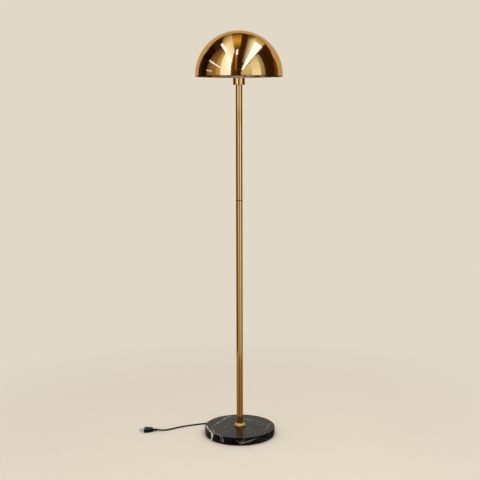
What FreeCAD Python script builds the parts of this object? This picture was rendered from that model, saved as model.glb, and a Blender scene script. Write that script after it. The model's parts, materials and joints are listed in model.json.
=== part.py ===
import FreeCAD, Part
import math
import os
import Sketcher
from types import SimpleNamespace

os.makedirs("parts", exist_ok=True)
doc = FreeCAD.newDocument("mushroom_floor_lamp")
Vector = FreeCAD.Vector

# ---------------------------------------------------------------- driving dimensions, mm and degrees

SIZES = {
    # fits between pieces
    "slip_fit": 0.10,
    "snug_fit": 0.05,
    "running_fit": 0.05,
    # base
    "base_diameter": 268.0,
    "base_thickness": 29.3,
    "base_bevel": 1.2,
    "base_recess_diameter": 70.0,
    "base_recess_depth": 18.0,
    "cable_channel_width": 12.0,
    "cable_channel_depth": 13.0,
    "felt_thickness": 1.5,
    "felt_inset": 5.0,
    "collar_diameter": 42.0,
    "collar_height": 13.0,
    "collar_side": 6.0,
    "collar_top_diameter": 31.0,
    "base_washer_diameter": 40.0,
    "base_washer_thickness": 2.0,
    "base_nut_flats": 19.0,
    "base_nut_height": 5.0,
    # pole
    "pole_diameter": 25.0,
    "pole_wall": 1.2,
    "tube_end_chamfer": 0.4,
    "lower_tube_length": 871.2,
    "upper_tube_length": 421.7,
    "bush_length": 18.0,
    "nipple_diameter": 13.0,
    "nipple_bore": 10.0,
    "base_nipple_tail": 1.0,
    "base_nipple_reach": 16.0,
    "joint_nipple_length": 32.0,
    "top_nipple_diameter": 10.0,
    "top_nipple_bore": 7.4,
    "top_nipple_below": 12.0,
    # lampholder
    "cup_diameter": 45.0,
    "cup_height": 24.5,
    "cup_wall": 1.0,
    "cup_corner": 2.0,
    "cup_nut_flats": 15.0,
    "cup_nut_height": 4.0,
    "cap_neck_diameter": 17.0,
    "cap_neck_height": 4.0,
    "cap_shoulder": 4.0,
    "cap_diameter": 41.0,
    "cap_wall": 1.8,
    "flange_diameter": 44.2,
    "flange_thickness": 3.0,
    "skirt_diameter": 39.6,
    "skirt_wall": 2.2,
    "skirt_height": 42.0,
    "core_height": 15.0,
    "core_seat": 1.5,
    "shell_diameter": 28.6,
    "shell_wall": 0.5,
    "shell_height": 22.0,
    "contact_width": 6.0,
    "contact_strip": 0.5,
    "contact_lift": 2.2,
    "contact_reach": 9.0,
    "contact_foot": 2.5,
    "terminal_spacing": 20.0,
    "terminal_screw_diameter": 3.5,
    "terminal_screw_length": 7.0,
    "wire_diameter": 2.0,
    "wire_drop": 13.0,
    "wire_spacing": 3.0,
    # rotary switch
    "switch_height": 14.0,
    "stem_diameter": 4.0,
    "stem_depth": 9.0,
    "stem_reach": 8.0,
    "switch_bush_diameter": 8.0,
    "switch_bush_length": 3.0,
    "knob_diameter": 11.0,
    "knob_length": 15.0,
    "knob_socket": 4.5,
    "knob_flat": 1.6,
    "knob_gap": 0.5,
    # shade and its carrier
    "dome_diameter": 320.0,
    "dome_wall": 1.0,
    "dome_skirt": 5.6,
    "hem_height": 5.0,
    "hem_fold": 1.2,
    "hem_edge": 0.5,
    "rim_lift": 4.8,
    "carrier_height": 26.0,
    "carrier_thickness": 1.5,
    "carrier_hub_diameter": 56.0,
    "carrier_arm_width": 12.0,
    "carrier_tab_height": 14.0,
    "shade_ring_diameter": 51.0,
    "lower_ring_height": 4.0,
    "upper_ring_height": 5.5,
    # bulb
    "bulb_diameter": 60.0,
    "bulb_globe_rise": 22.5,
    "bulb_neck_diameter": 44.0,
    "bulb_wall": 1.2,
    "bulb_body_height": 27.0,
    "bulb_cap_diameter": 26.4,
    "bulb_cap_height": 21.0,
    "bulb_cap_wall": 0.4,
    "bulb_insulator_height": 3.0,
    "bulb_tip_diameter": 9.0,
    "bulb_tip_height": 1.5,
    # cord and plug
    "cord_diameter": 5.8,
    "cord_exit_angle": 59.0,
    "relief_length": 15.0,
    "relief_root_diameter": 10.0,
    "relief_tip_diameter": 7.6,
    "relief_block_depth": 9.0,
    "cable_bend_radius": 12.0,
    "cable_clearance": 0.4,
    "hank_across": -1.5,
    "hank_back": 155.7,
    "hank_reach": 46.0,
    "hank_fold_radius": 17.4,
    "hank_pitch": 6.6,
    "hank_layer_pitch": 6.25,
    "hank_waist_pitch": 8.6,
    "strap_thickness": 0.4,
    "strap_width": 7.0,
    "strap_gap": 0.1,
    "plug_width": 35.3,
    "plug_thickness": 13.7,
    "plug_length": 34.0,
    "plug_shoulder": 20.0,
    "plug_tail_width": 13.0,
    "plug_edge": 3.0,
    "plug_boot_length": 16.0,
    "plug_boot_tip_diameter": 7.6,
    "plug_boot_root_diameter": 9.6,
    "pin_diameter": 4.0,
    "pin_length": 19.0,
    "pin_spacing": 19.0,
    "plug_across": -320.0,
    "plug_back": 25.0,
}

CARRIER_ARMS = 3
HANK_FOLDS = 6
ARC_SHARE = 0.45


class Size:
    """A length or angle that carries its sheet formula and its number together."""

    def __init__(self, text, number):
        self.text = text
        self.number = number

    def __add__(self, other):
        return join(self, "+", other, self.number + number_of(other))

    def __sub__(self, other):
        return join(self, "-", other, self.number - number_of(other))

    def __mul__(self, other):
        return join(self, "*", other, self.number * number_of(other))

    def __truediv__(self, other):
        return join(self, "/", other, self.number / number_of(other))

    def __neg__(self):
        return Size("(0 - " + self.text + ")", -self.number)


def number_of(value):
    return value.number if isinstance(value, Size) else float(value)


def text_of(value):
    return value.text if isinstance(value, Size) else repr(float(value))


def join(left, sign, right, number):
    return Size("(" + left.text + " " + sign + " " + text_of(right) + ")", number)


def write_sheet():
    """Put every driving dimension in the sheet and hand back one Size for each."""
    sheet = doc.addObject("Spreadsheet::Sheet", "sizes")
    for row, (name, value) in enumerate(SIZES.items(), start=1):
        sheet.set("A{}".format(row), name)
        sheet.set("B{}".format(row), str(value))
        sheet.setAlias("B{}".format(row), name)
    doc.recompute()
    return SimpleNamespace(**{name: Size("sizes." + name, value) for name, value in SIZES.items()})


s = write_sheet()
nodes = []

# ---------------------------------------------------------------- places that pieces share

BASE_TOP = s.felt_thickness + s.base_thickness
RECESS_TOP = s.felt_thickness + s.base_recess_depth
SEAM = BASE_TOP + s.lower_tube_length
CUP_BOTTOM = SEAM + s.upper_tube_length
CUP_TOP = CUP_BOTTOM + s.cup_height
RIM = CUP_TOP + s.rim_lift
DOME_CENTRE = RIM + s.dome_skirt
POLE_BORE = s.pole_diameter / 2 - s.pole_wall
NUT_BOTTOM = RECESS_TOP - s.base_washer_thickness - s.base_nut_height
CAP_BOTTOM = CUP_BOTTOM + s.cup_wall + s.cup_nut_height
CORE_BOTTOM = CUP_TOP + s.core_seat
CORE_TOP = CORE_BOTTOM + s.core_height
SWITCH_AXIS = CUP_TOP + s.switch_height
CARRIER_BOTTOM = CUP_TOP + s.carrier_height
BULB_BOTTOM = CORE_TOP + s.contact_strip + s.contact_lift
EXIT_HEIGHT = s.felt_thickness + s.cable_channel_depth / 2
CORD = s.cord_diameter

# ---------------------------------------------------------------- helpers


def bind(thing, **formulas):
    """Bind properties to formulas; two underscores stand for a dot in a property's path."""
    for path, value in formulas.items():
        if isinstance(value, Size):
            thing.setExpression(path.replace("__", "."), value.text)
        else:
            setattr(thing, path, value)


def place(thing, across=None, back=None, rise=None, turn=None):
    """Place a piece by formulas: along X, along Y, up, and turned about the lamp's axis."""
    for axis, value in (("x", across), ("y", back), ("z", rise)):
        if value is not None:
            thing.setExpression("Placement.Base." + axis, value.text)
    if turn is not None:
        thing.setExpression("Placement.Rotation.Angle", turn.text)


def keep(thing, label):
    """Count an object as one of the lamp's pieces; its label names its file."""
    thing.Label = label
    nodes.append(thing)
    return thing


def origin_plane(body, role):
    return [face for face in body.Origin.OriginFeatures if face.Role == role][0]


def arc_between(start, end, radius):
    """Arc from start to end; a positive radius turns left, a negative one right."""
    chord = end - start
    half = chord.Length / 2
    rise = math.sqrt(max(radius * radius - half * half, 0.0))
    side = Vector(-chord.y, chord.x, 0).normalize() * math.copysign(rise, radius)
    centre = start + chord * 0.5 + side
    first, last = (start, end) if radius > 0 else (end, start)
    angles = [math.atan2(p.y - centre.y, p.x - centre.x) for p in (first, last)]
    circle = Part.Circle(centre, Vector(0, 0, 1), abs(radius))
    return Part.ArcOfCircle(circle, angles[0], angles[1])


def outline(body, name, plane, points):
    """Closed sketch through points (across, up[, radius]); a radius bends the edge that leaves the point."""
    sketch = body.newObject("Sketcher::SketchObject", name)
    sketch.AttachmentSupport = [(origin_plane(body, plane), "")]
    sketch.MapMode = "FlatFace"
    corners = [Vector(number_of(p[0]), number_of(p[1]), 0) for p in points]
    starts, ends = [], []
    for i, point in enumerate(points):
        start, end = corners[i], corners[(i + 1) % len(points)]
        if len(point) == 3:
            bend = number_of(point[2])
            sketch.addGeometry(arc_between(start, end, bend), False)
            starts.append((i, 1 if bend > 0 else 2))
            ends.append((i, 2 if bend > 0 else 1))
        else:
            sketch.addGeometry(Part.LineSegment(start, end), False)
            starts.append((i, 1))
            ends.append((i, 2))
    for i in range(len(points)):
        follower = starts[(i + 1) % len(points)]
        sketch.addConstraint(Sketcher.Constraint("Coincident", *ends[i], *follower))
    for i, point in enumerate(points):
        for value, kind, axis in ((point[0], "DistanceX", -2), (point[1], "DistanceY", -1)):
            if number_of(value) == 0:
                sketch.addConstraint(Sketcher.Constraint("PointOnObject", *starts[i], axis))
                continue
            index = sketch.addConstraint(Sketcher.Constraint(kind, -1, 1, *starts[i], number_of(value)))
            if isinstance(value, Size):
                sketch.setExpression("Constraints[{}]".format(index), value.text)
        if len(point) == 3:
            index = sketch.addConstraint(Sketcher.Constraint("Radius", i, abs(number_of(point[2]))))
            formula = point[2] if number_of(point[2]) > 0 else -point[2]
            sketch.setExpression("Constraints[{}]".format(index), formula.text)
    return sketch


def turned_body(name, points, angle=360):
    """PartDesign body: a section of (radius, height) corners turned about Z."""
    body = doc.addObject("PartDesign::Body", name)
    sketch = outline(body, name + "_section", "XZ_Plane", points)
    turn = body.newObject("PartDesign::Revolution", name + "_turn")
    turn.Profile = sketch
    turn.ReferenceAxis = (sketch, ["V_Axis"])
    turn.Angle = angle
    sketch.Visibility = False
    return body


def pocket_slot(body, name, along, width, depth):
    """Cut a slot up from the body's underside, from its middle out along X."""
    sketch = outline(body, name + "_section", "XY_Plane", [
        (Size("0", 0), -(width / 2)), (along, -(width / 2)), (along, width / 2), (Size("0", 0), width / 2)])
    cut = body.newObject("PartDesign::Pocket", name)
    cut.Profile = sketch
    cut.Reversed = True
    cut.setExpression("Length", depth.text)
    sketch.Visibility = False
    return cut


def cylinder(name, diameter, height, rise=None):
    piece = doc.addObject("Part::Cylinder", name)
    bind(piece, Radius=diameter / 2, Height=height)
    place(piece, rise=rise)
    return piece


def cut(name, base, tool):
    piece = doc.addObject("Part::Cut", name)
    piece.Base, piece.Tool = base, tool
    return piece


def hex_nut(name, flats, height, bore):
    """Hexagonal nut standing on Z = 0, with a plain bore."""
    prism = doc.addObject("Part::Prism", name + "_prism")
    prism.Polygon = 6
    bind(prism, Circumradius=flats / math.sqrt(3), Height=height)
    return cut(name, prism, cylinder(name + "_bore", bore, height))


def ring_section(inner, outer, height):
    """Corners of a plain ring between two radii."""
    return [(inner, 0), (outer, 0), (outer, height), (inner, height)]


# ---------------------------------------------------------------- base


def make_marble_base():
    radius, bevel = s.base_diameter / 2, s.base_bevel
    top = s.base_thickness
    bore = s.nipple_diameter / 2 + s.slip_fit
    recess = s.base_recess_diameter / 2
    body = turned_body("marble_base", [
        (recess, 0), (radius - bevel, 0), (radius, bevel), (radius, top - bevel),
        (radius - bevel, top), (bore, top), (bore, s.base_recess_depth), (recess, s.base_recess_depth)])
    pocket_slot(body, "marble_channel", radius + bevel, s.cable_channel_width, s.cable_channel_depth)
    place(body, rise=s.felt_thickness, turn=s.cord_exit_angle)
    keep(body, "marble_base")


def make_felt_pad():
    outer = s.base_diameter / 2 - s.felt_inset
    body = turned_body("felt_pad", ring_section(s.base_recess_diameter / 2, outer, s.felt_thickness))
    pocket_slot(body, "felt_slot", outer + s.felt_inset, s.cable_channel_width, s.felt_thickness)
    place(body, turn=s.cord_exit_angle)
    keep(body, "felt_pad")


def make_base_collar():
    bore = s.pole_diameter / 2 + s.slip_fit
    body = turned_body("base_collar", [
        (bore, 0), (s.collar_diameter / 2, 0), (s.collar_diameter / 2, s.collar_side),
        (s.collar_top_diameter / 2, s.collar_height), (bore, s.collar_height)])
    place(body, rise=BASE_TOP)
    keep(body, "base_collar")


def make_base_fixings():
    hole = s.nipple_diameter / 2 + s.slip_fit
    washer = turned_body("base_washer", ring_section(
        hole, s.base_washer_diameter / 2, s.base_washer_thickness))
    place(washer, rise=RECESS_TOP - s.base_washer_thickness)
    keep(washer, "base_washer")
    nut = hex_nut("base_nut", s.base_nut_flats, s.base_nut_height, s.nipple_diameter + s.snug_fit * 2)
    place(nut, rise=NUT_BOTTOM)
    keep(nut, "base_nut")
    foot = NUT_BOTTOM - s.base_nipple_tail
    nipple = turned_body("base_nipple", ring_section(
        s.nipple_bore / 2, s.nipple_diameter / 2, BASE_TOP + s.base_nipple_reach - foot))
    place(nipple, rise=foot)
    keep(nipple, "base_nipple")


# ---------------------------------------------------------------- pole


def make_tube(name, length, rise):
    radius, edge = s.pole_diameter / 2, s.tube_end_chamfer
    body = turned_body(name, [
        (POLE_BORE, 0), (radius - edge, 0), (radius, edge), (radius, length - edge),
        (radius - edge, length), (POLE_BORE, length)])
    place(body, rise=rise)
    keep(body, name)


def make_bush(name, bore_diameter, rise):
    """Turned plug pressed into a tube's end, threaded for the hollow nipple."""
    body = turned_body(name, ring_section(
        bore_diameter / 2 + s.snug_fit, POLE_BORE - s.snug_fit, s.bush_length))
    place(body, rise=rise)
    keep(body, name)


def make_pole():
    make_tube("lower_tube", s.lower_tube_length, BASE_TOP)
    make_tube("upper_tube", s.upper_tube_length, SEAM)
    make_bush("lower_tube_foot_bush", s.nipple_diameter, BASE_TOP)
    make_bush("lower_tube_top_bush", s.nipple_diameter, SEAM - s.bush_length)
    make_bush("upper_tube_foot_bush", s.nipple_diameter, SEAM)
    make_bush("upper_tube_top_bush", s.top_nipple_diameter, CUP_BOTTOM - s.bush_length)
    joint = turned_body("joint_nipple", ring_section(
        s.nipple_bore / 2, s.nipple_diameter / 2, s.joint_nipple_length))
    place(joint, rise=SEAM - s.joint_nipple_length / 2)
    keep(joint, "joint_nipple")
    foot = CUP_BOTTOM - s.top_nipple_below
    nipple = turned_body("top_nipple", ring_section(
        s.top_nipple_bore / 2, s.top_nipple_diameter / 2, CAP_BOTTOM + s.cap_neck_height - foot))
    place(nipple, rise=foot)
    keep(nipple, "top_nipple")


# ---------------------------------------------------------------- lampholder


def make_lampholder_cup():
    radius, corner, wall = s.cup_diameter / 2, s.cup_corner, s.cup_wall
    hole = s.top_nipple_diameter / 2 + s.slip_fit
    body = turned_body("lampholder_cup", [
        (hole, 0), (radius - corner, 0, corner), (radius, corner), (radius, s.cup_height),
        (radius - wall, s.cup_height), (radius - wall, corner, wall - corner),
        (radius - corner, wall), (hole, wall)])
    place(body, rise=CUP_BOTTOM)
    keep(body, "lampholder_cup")
    nut = hex_nut("cup_nut", s.cup_nut_flats, s.cup_nut_height, s.top_nipple_diameter + s.snug_fit * 2)
    place(nut, rise=CUP_BOTTOM + s.cup_wall)
    keep(nut, "cup_nut")


def make_lampholder_cap():
    """Insulating cap inside the cup: threaded neck, sloping shoulder and a straight wall."""
    bore = s.top_nipple_diameter / 2 + s.snug_fit
    neck, outer, wall = s.cap_neck_diameter / 2, s.cap_diameter / 2, s.cap_wall
    shoulder = s.cap_neck_height + s.cap_shoulder
    top = CUP_TOP - CAP_BOTTOM
    body = turned_body("lampholder_cap", [
        (bore, 0), (neck, 0), (neck, s.cap_neck_height - wall), (outer, shoulder - wall), (outer, top),
        (outer - wall, top), (outer - wall, shoulder), (neck - wall, s.cap_neck_height),
        (bore, s.cap_neck_height)])
    place(body, rise=CAP_BOTTOM)
    keep(body, "lampholder_cap")


def make_lampholder_skirt():
    """Outer sleeve of the lampholder: a flange on the cup's edge and a threaded skirt above it."""
    outer, inner = s.skirt_diameter / 2, s.skirt_diameter / 2 - s.skirt_wall
    body = turned_body("lampholder_skirt", [
        (inner, 0), (s.flange_diameter / 2, 0), (s.flange_diameter / 2, s.flange_thickness),
        (outer, s.flange_thickness), (outer, s.skirt_height), (inner, s.skirt_height)])
    hole = body.newObject("PartDesign::Pocket", "switch_hole")
    sketch = body.newObject("Sketcher::SketchObject", "switch_hole_section")
    sketch.AttachmentSupport = [(origin_plane(body, "XZ_Plane"), "")]
    sketch.MapMode = "FlatFace"
    centre = Vector(0, s.switch_height.number, 0)
    radius = s.switch_bush_diameter / 2 + s.slip_fit
    sketch.addGeometry(Part.Circle(centre, Vector(0, 0, 1), radius.number), False)
    sketch.addConstraint(Sketcher.Constraint("PointOnObject", 0, 3, -2))
    rise = sketch.addConstraint(Sketcher.Constraint("DistanceY", -1, 1, 0, 3, centre.y))
    sketch.setExpression("Constraints[{}]".format(rise), s.switch_height.text)
    size = sketch.addConstraint(Sketcher.Constraint("Radius", 0, radius.number))
    sketch.setExpression("Constraints[{}]".format(size), radius.text)
    hole.Profile = sketch
    hole.setExpression("Length", s.skirt_diameter.text)
    sketch.Visibility = False
    place(body, rise=CUP_TOP)
    keep(body, "lampholder_skirt")


def make_lampholder_core():
    """Insulating block that carries the contacts, drilled for the switch stem and the wires."""
    radius = s.skirt_diameter / 2 - s.skirt_wall - s.snug_fit
    block = cylinder("core_block", radius * 2, s.core_height)
    stem_hole = cylinder("core_stem_hole", s.stem_diameter + s.running_fit * 2, s.skirt_diameter)
    lie_along_back(stem_hole, s.stem_depth, s.switch_height - s.core_seat)
    drilled = cut("core_drilled", block, stem_hole)
    holes = doc.addObject("Part::MultiFuse", "core_screw_holes")
    holes.Shapes = [screw_cylinder("core_hole", side, s.snug_fit) for side in (-1, 1)]
    core = cut("lampholder_core", drilled, holes)
    place(core, rise=CORE_BOTTOM)
    keep(core, "lampholder_core")


def screw_cylinder(name, side, clearance):
    """Space of one terminal screw, or the screw itself where the clearance is nothing."""
    label = "{}_{}".format(name, "left" if side < 0 else "right")
    extra = clearance * 2 if isinstance(clearance, Size) else 0.0
    piece = cylinder(label, s.terminal_screw_diameter + extra, s.terminal_screw_length + extra)
    place(piece, across=s.terminal_spacing / 2 * side)
    return piece


def make_contacts():
    screws = doc.addObject("Part::Compound", "terminal_screws")
    screws.Links = [screw_cylinder("terminal_screw", side, None) for side in (-1, 1)]
    place(screws, rise=CORE_BOTTOM)
    keep(screws, "terminal_screws")
    outer, hole = s.shell_diameter / 2, s.contact_reach + s.contact_strip * 2
    shell = turned_body("screw_shell", [
        (hole, 0), (outer, 0), (outer, s.shell_height), (outer - s.shell_wall, s.shell_height),
        (outer - s.shell_wall, s.shell_wall), (hole, s.shell_wall)])
    place(shell, rise=CORE_TOP)
    keep(shell, "screw_shell")
    make_centre_contact()


def make_centre_contact():
    """Sprung tongue: a foot on the core and a raised tip under the bulb."""
    body = doc.addObject("PartDesign::Body", "centre_contact")
    strip, lift, reach = s.contact_strip, s.contact_lift, s.contact_reach
    tip, foot = s.bulb_tip_diameter / 2, s.contact_reach - s.contact_foot
    sketch = outline(body, "centre_contact_section", "XZ_Plane", [
        (tip, lift), (foot, 0), (reach, 0), (reach, strip), (foot, strip), (tip, lift + strip),
        (-tip, lift + strip), (-tip, lift)])
    pad = body.newObject("PartDesign::Pad", "centre_contact_pad")
    pad.Profile = sketch
    pad.Midplane = True
    pad.setExpression("Length", s.contact_width.text)
    place(body, rise=CORE_TOP)
    keep(body, "centre_contact")


# ---------------------------------------------------------------- rotary switch


def lie_along_back(thing, start, rise=SWITCH_AXIS):
    """Lay a piece that was made along Z so that it runs out to the back."""
    thing.Placement = FreeCAD.Placement(Vector(), FreeCAD.Rotation(Vector(1, 0, 0), -90))
    place(thing, back=start, rise=rise)


def make_switch():
    skirt = s.skirt_diameter / 2
    inner = skirt - s.skirt_wall
    bush = turned_body("switch_bush", ring_section(
        s.stem_diameter / 2 + s.running_fit, s.switch_bush_diameter / 2,
        s.skirt_wall + s.switch_bush_length))
    lie_along_back(bush, inner)
    keep(bush, "switch_bush")
    knob_start = skirt + s.switch_bush_length + s.knob_gap
    stem = turned_body("switch_stem", [
        (0, 0), (s.stem_diameter / 2, 0), (s.stem_diameter / 2, knob_start + s.stem_reach - s.stem_depth),
        (0, knob_start + s.stem_reach - s.stem_depth)])
    lie_along_back(stem, s.stem_depth + s.running_fit)
    keep(stem, "switch_stem")
    make_switch_knob(knob_start)


def make_switch_knob(start):
    """Round knob with a socket for the stem and a flat that shows which way it points."""
    radius = s.knob_diameter / 2
    socket = s.stem_diameter / 2 + s.snug_fit
    depth = s.stem_reach + s.running_fit + s.snug_fit
    blank = turned_body("knob_blank", [
        (socket, 0), (radius, 0), (radius, s.knob_length), (0, s.knob_length), (0, depth), (socket, depth)])
    flat = doc.addObject("Part::Box", "knob_flat_cut")
    bind(flat, Length=s.knob_diameter, Width=s.knob_flat, Height=s.knob_length)
    place(flat, across=-radius, back=radius - s.knob_flat, rise=s.knob_socket)
    knob = cut("switch_knob", blank, flat)
    lie_along_back(knob, start)
    keep(knob, "switch_knob")


# ---------------------------------------------------------------- shade and its carrier


def make_dome_shade():
    """Spun dome: hemisphere on a short straight skirt, with the edge folded in to a hem."""
    outer, wall = s.dome_diameter / 2, s.dome_wall
    inner = outer - wall
    fold = inner - s.hem_fold
    edge = s.hem_edge
    body = turned_body("dome_shade", [
        (outer - edge, 0, edge), (outer, edge), (outer, s.dome_skirt, outer), (0, outer + s.dome_skirt),
        (0, inner + s.dome_skirt, -inner), (inner, s.dome_skirt), (inner, s.hem_height),
        (fold, s.hem_height), (fold, edge, edge), (fold + edge, 0)])
    place(body, rise=RIM)
    keep(body, "dome_shade")


def make_shade_carrier():
    """Hub ring on the lampholder with three arms, whose end tabs are spot-welded inside the dome."""
    inside = s.dome_diameter / 2 - s.dome_wall
    hub = cylinder("carrier_hub", s.carrier_hub_diameter, s.carrier_thickness, CARRIER_BOTTOM)
    strips, tabs = [], []
    for i in range(CARRIER_ARMS):
        heading = 90 + 360 / CARRIER_ARMS * i
        arm = doc.addObject("Part::Box", "carrier_arm_{}".format(i + 1))
        bind(arm, Length=inside, Width=s.carrier_arm_width, Height=s.carrier_thickness)
        tab = doc.addObject("Part::Box", "carrier_tab_{}".format(i + 1))
        bind(tab, Length=inside, Width=s.carrier_arm_width, Height=s.carrier_tab_height)
        for strip in (arm, tab):
            swing_from_axis(strip, heading, s.carrier_arm_width, CARRIER_BOTTOM)
        strips.append(arm)
        tabs.append(tab)
    arms = doc.addObject("Part::MultiFuse", "carrier_arms")
    arms.Shapes = [hub] + strips
    all_tabs = doc.addObject("Part::MultiFuse", "carrier_tabs")
    all_tabs.Shapes = tabs
    clear = inside - s.snug_fit
    tab_shell = cut("carrier_tab_shell", all_tabs, ball("carrier_inner_ball", clear - s.carrier_thickness))
    whole = doc.addObject("Part::MultiFuse", "carrier_blank")
    whole.Shapes = [arms, tab_shell]
    trimmed = doc.addObject("Part::MultiCommon", "carrier_trimmed")
    trimmed.Shapes = [whole, ball("carrier_outer_ball", clear)]
    bore = cylinder("carrier_bore", s.skirt_diameter + s.slip_fit * 2, s.carrier_thickness, CARRIER_BOTTOM)
    keep(cut("shade_carrier", trimmed, bore), "shade_carrier")


def swing_from_axis(strip, heading, width, rise):
    """Turn a strip that starts at the lamp's axis to a heading, with its middle line through the axis."""
    across = round(math.sin(math.radians(heading)), 9)
    along = round(math.cos(math.radians(heading)), 9)
    strip.Placement = FreeCAD.Placement(Vector(), FreeCAD.Rotation(Vector(0, 0, 1), heading))
    place(strip, across=width / 2 * across, back=width / 2 * -along, rise=rise)


def ball(name, radius):
    piece = doc.addObject("Part::Sphere", name)
    bind(piece, Radius=radius)
    place(piece, rise=DOME_CENTRE)
    return piece


def make_shade_rings():
    bore = s.skirt_diameter / 2 + s.slip_fit
    outer = s.shade_ring_diameter / 2
    lower = turned_body("shade_ring_lower", ring_section(bore, outer, s.lower_ring_height))
    place(lower, rise=CARRIER_BOTTOM - s.lower_ring_height)
    keep(lower, "shade_ring_lower")
    upper = turned_body("shade_ring_upper", ring_section(bore, outer, s.upper_ring_height))
    place(upper, rise=CARRIER_BOTTOM + s.carrier_thickness)
    keep(upper, "shade_ring_upper")


# ---------------------------------------------------------------- bulb


def make_bulb():
    tip, cap = s.bulb_tip_diameter / 2, s.bulb_cap_diameter / 2
    insulator_top = s.bulb_tip_height + s.bulb_insulator_height
    cap_top = insulator_top + s.bulb_cap_height
    body_top = cap_top + s.bulb_body_height
    contact = cylinder("bulb_tip", s.bulb_tip_diameter, s.bulb_tip_height, BULB_BOTTOM)
    keep(contact, "bulb_tip")
    insulator = turned_body("bulb_insulator", [
        (0, 0), (tip, 0), (cap - s.bulb_cap_wall, s.bulb_insulator_height), (0, s.bulb_insulator_height)])
    place(insulator, rise=BULB_BOTTOM + s.bulb_tip_height)
    keep(insulator, "bulb_insulator")
    screw_cap = turned_body("bulb_cap", ring_section(cap - s.bulb_cap_wall, cap, s.bulb_cap_height))
    place(screw_cap, rise=BULB_BOTTOM + insulator_top)
    keep(screw_cap, "bulb_cap")
    neck = s.bulb_neck_diameter / 2
    housing = turned_body("bulb_body", [
        (0, 0), (cap, 0), (neck, s.bulb_body_height), (0, s.bulb_body_height)])
    place(housing, rise=BULB_BOTTOM + cap_top)
    keep(housing, "bulb_body")
    make_bulb_globe(body_top, neck)


def make_bulb_globe(rise, neck):
    """Opal globe: a thin shell that swells out from the neck and closes over the top."""
    radius, wall, middle = s.bulb_diameter / 2, s.bulb_wall, s.bulb_globe_rise
    swell = radius - neck
    bow = Size(
        "(({0} * {0} + {1} * {1}) / (2 * {0}))".format(swell.text, middle.text),
        (swell.number ** 2 + middle.number ** 2) / (2 * swell.number))
    globe = turned_body("bulb_globe", [
        (neck - wall, 0), (neck, 0, bow), (radius, middle, radius), (0, middle + radius),
        (0, middle + radius - wall, wall - radius), (radius - wall, middle, -bow)])
    place(globe, rise=BULB_BOTTOM + rise)
    keep(globe, "bulb_globe")


# ---------------------------------------------------------------- tubes along a route


def unit(vector):
    return vector * (1 / vector.Length)


def arc_edge(start, heading, end):
    """Arc that leaves start along its heading and runs to end, or a line if end lies ahead."""
    chord = end - start
    along = unit(chord)
    aside = heading - along * heading.dot(along)
    if aside.Length < 1e-6:
        return Part.LineSegment(start, end).toShape()
    turn = math.atan2(aside.Length, heading.dot(along))
    middle = start + chord * 0.5 + unit(aside) * (chord.Length / 2 * math.tan(turn / 2))
    return Part.Arc(start, middle, end).toShape()


def biarc_edges(start, leave, end, arrive):
    """Two arcs that join two places with a given heading at each."""
    chord = end - start
    a = 2 * (1 - leave.dot(arrive))
    b = 2 * chord.dot(leave + arrive)
    reach = (math.sqrt(b * b + 4 * a * chord.dot(chord)) - b) / (2 * a)
    near, far = start + leave * reach, end - arrive * reach
    join_place = (near + far) * 0.5
    return [arc_edge(start, leave, join_place), arc_edge(join_place, unit(far - near), end)]


def rounded_route(points):
    """Straight runs joined by tangent arcs, each as large as its two runs allow."""
    edges, radii = [], []
    here = points[0]
    for before, corner, after in zip(points, points[1:], points[2:]):
        arrive, leave = corner - before, after - corner
        reach = ARC_SHARE * min(arrive.Length, leave.Length)
        bend_start = corner - unit(arrive) * reach
        bend_end = corner + unit(leave) * reach
        edges.append(Part.LineSegment(here, bend_start).toShape())
        edges.append(arc_edge(bend_start, unit(arrive), bend_end))
        radii.append(reach / math.tan(arrive.getAngle(leave) / 2))
        here = bend_end
    edges.append(Part.LineSegment(here, points[-1]).toShape())
    return edges, radii


def sweep_tube(edges, diameter):
    """Solid tube along edges, and how its volume compares with its section times its length."""
    path = Part.Wire(edges)
    start = edges[0].valueAt(edges[0].FirstParameter)
    heading = edges[0].tangentAt(edges[0].FirstParameter)
    ring = Part.Wire([Part.Circle(start, heading, diameter / 2).toShape()])
    tube = path.makePipeShell([ring], True, False)
    return tube, path.Length, tube.Volume / (path.Length * math.pi * diameter * diameter / 4)


def keep_shape(label, shape):
    piece = doc.addObject("Part::Feature", label)
    piece.Shape = shape
    return keep(piece, label)


def keep_route_tube(label, points, diameter):
    edges, radii = rounded_route(points)
    tube, length, share = sweep_tube(edges, diameter)
    print("{}: length {:.1f}, volume share {:.4f}, radii {}".format(
        label, length, share, " ".join("{:.1f}".format(r) for r in radii)))
    keep_shape(label, tube)
    return edges


def least_gap(first, second, diameter, apart=0):
    """Least gap between two tubes, or of one to itself where places lie further apart along it."""
    gap = math.inf
    for i, place_one in enumerate(first):
        for place_two in second[i + apart:] if apart else second:
            gap = min(gap, place_one.distanceToPoint(place_two))
    return gap - diameter


# ---------------------------------------------------------------- cord inside the lamp


def radial_point(radius, rise):
    angle = math.radians(s.cord_exit_angle.number)
    return Vector(radius * math.cos(angle), radius * math.sin(angle), rise)


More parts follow.
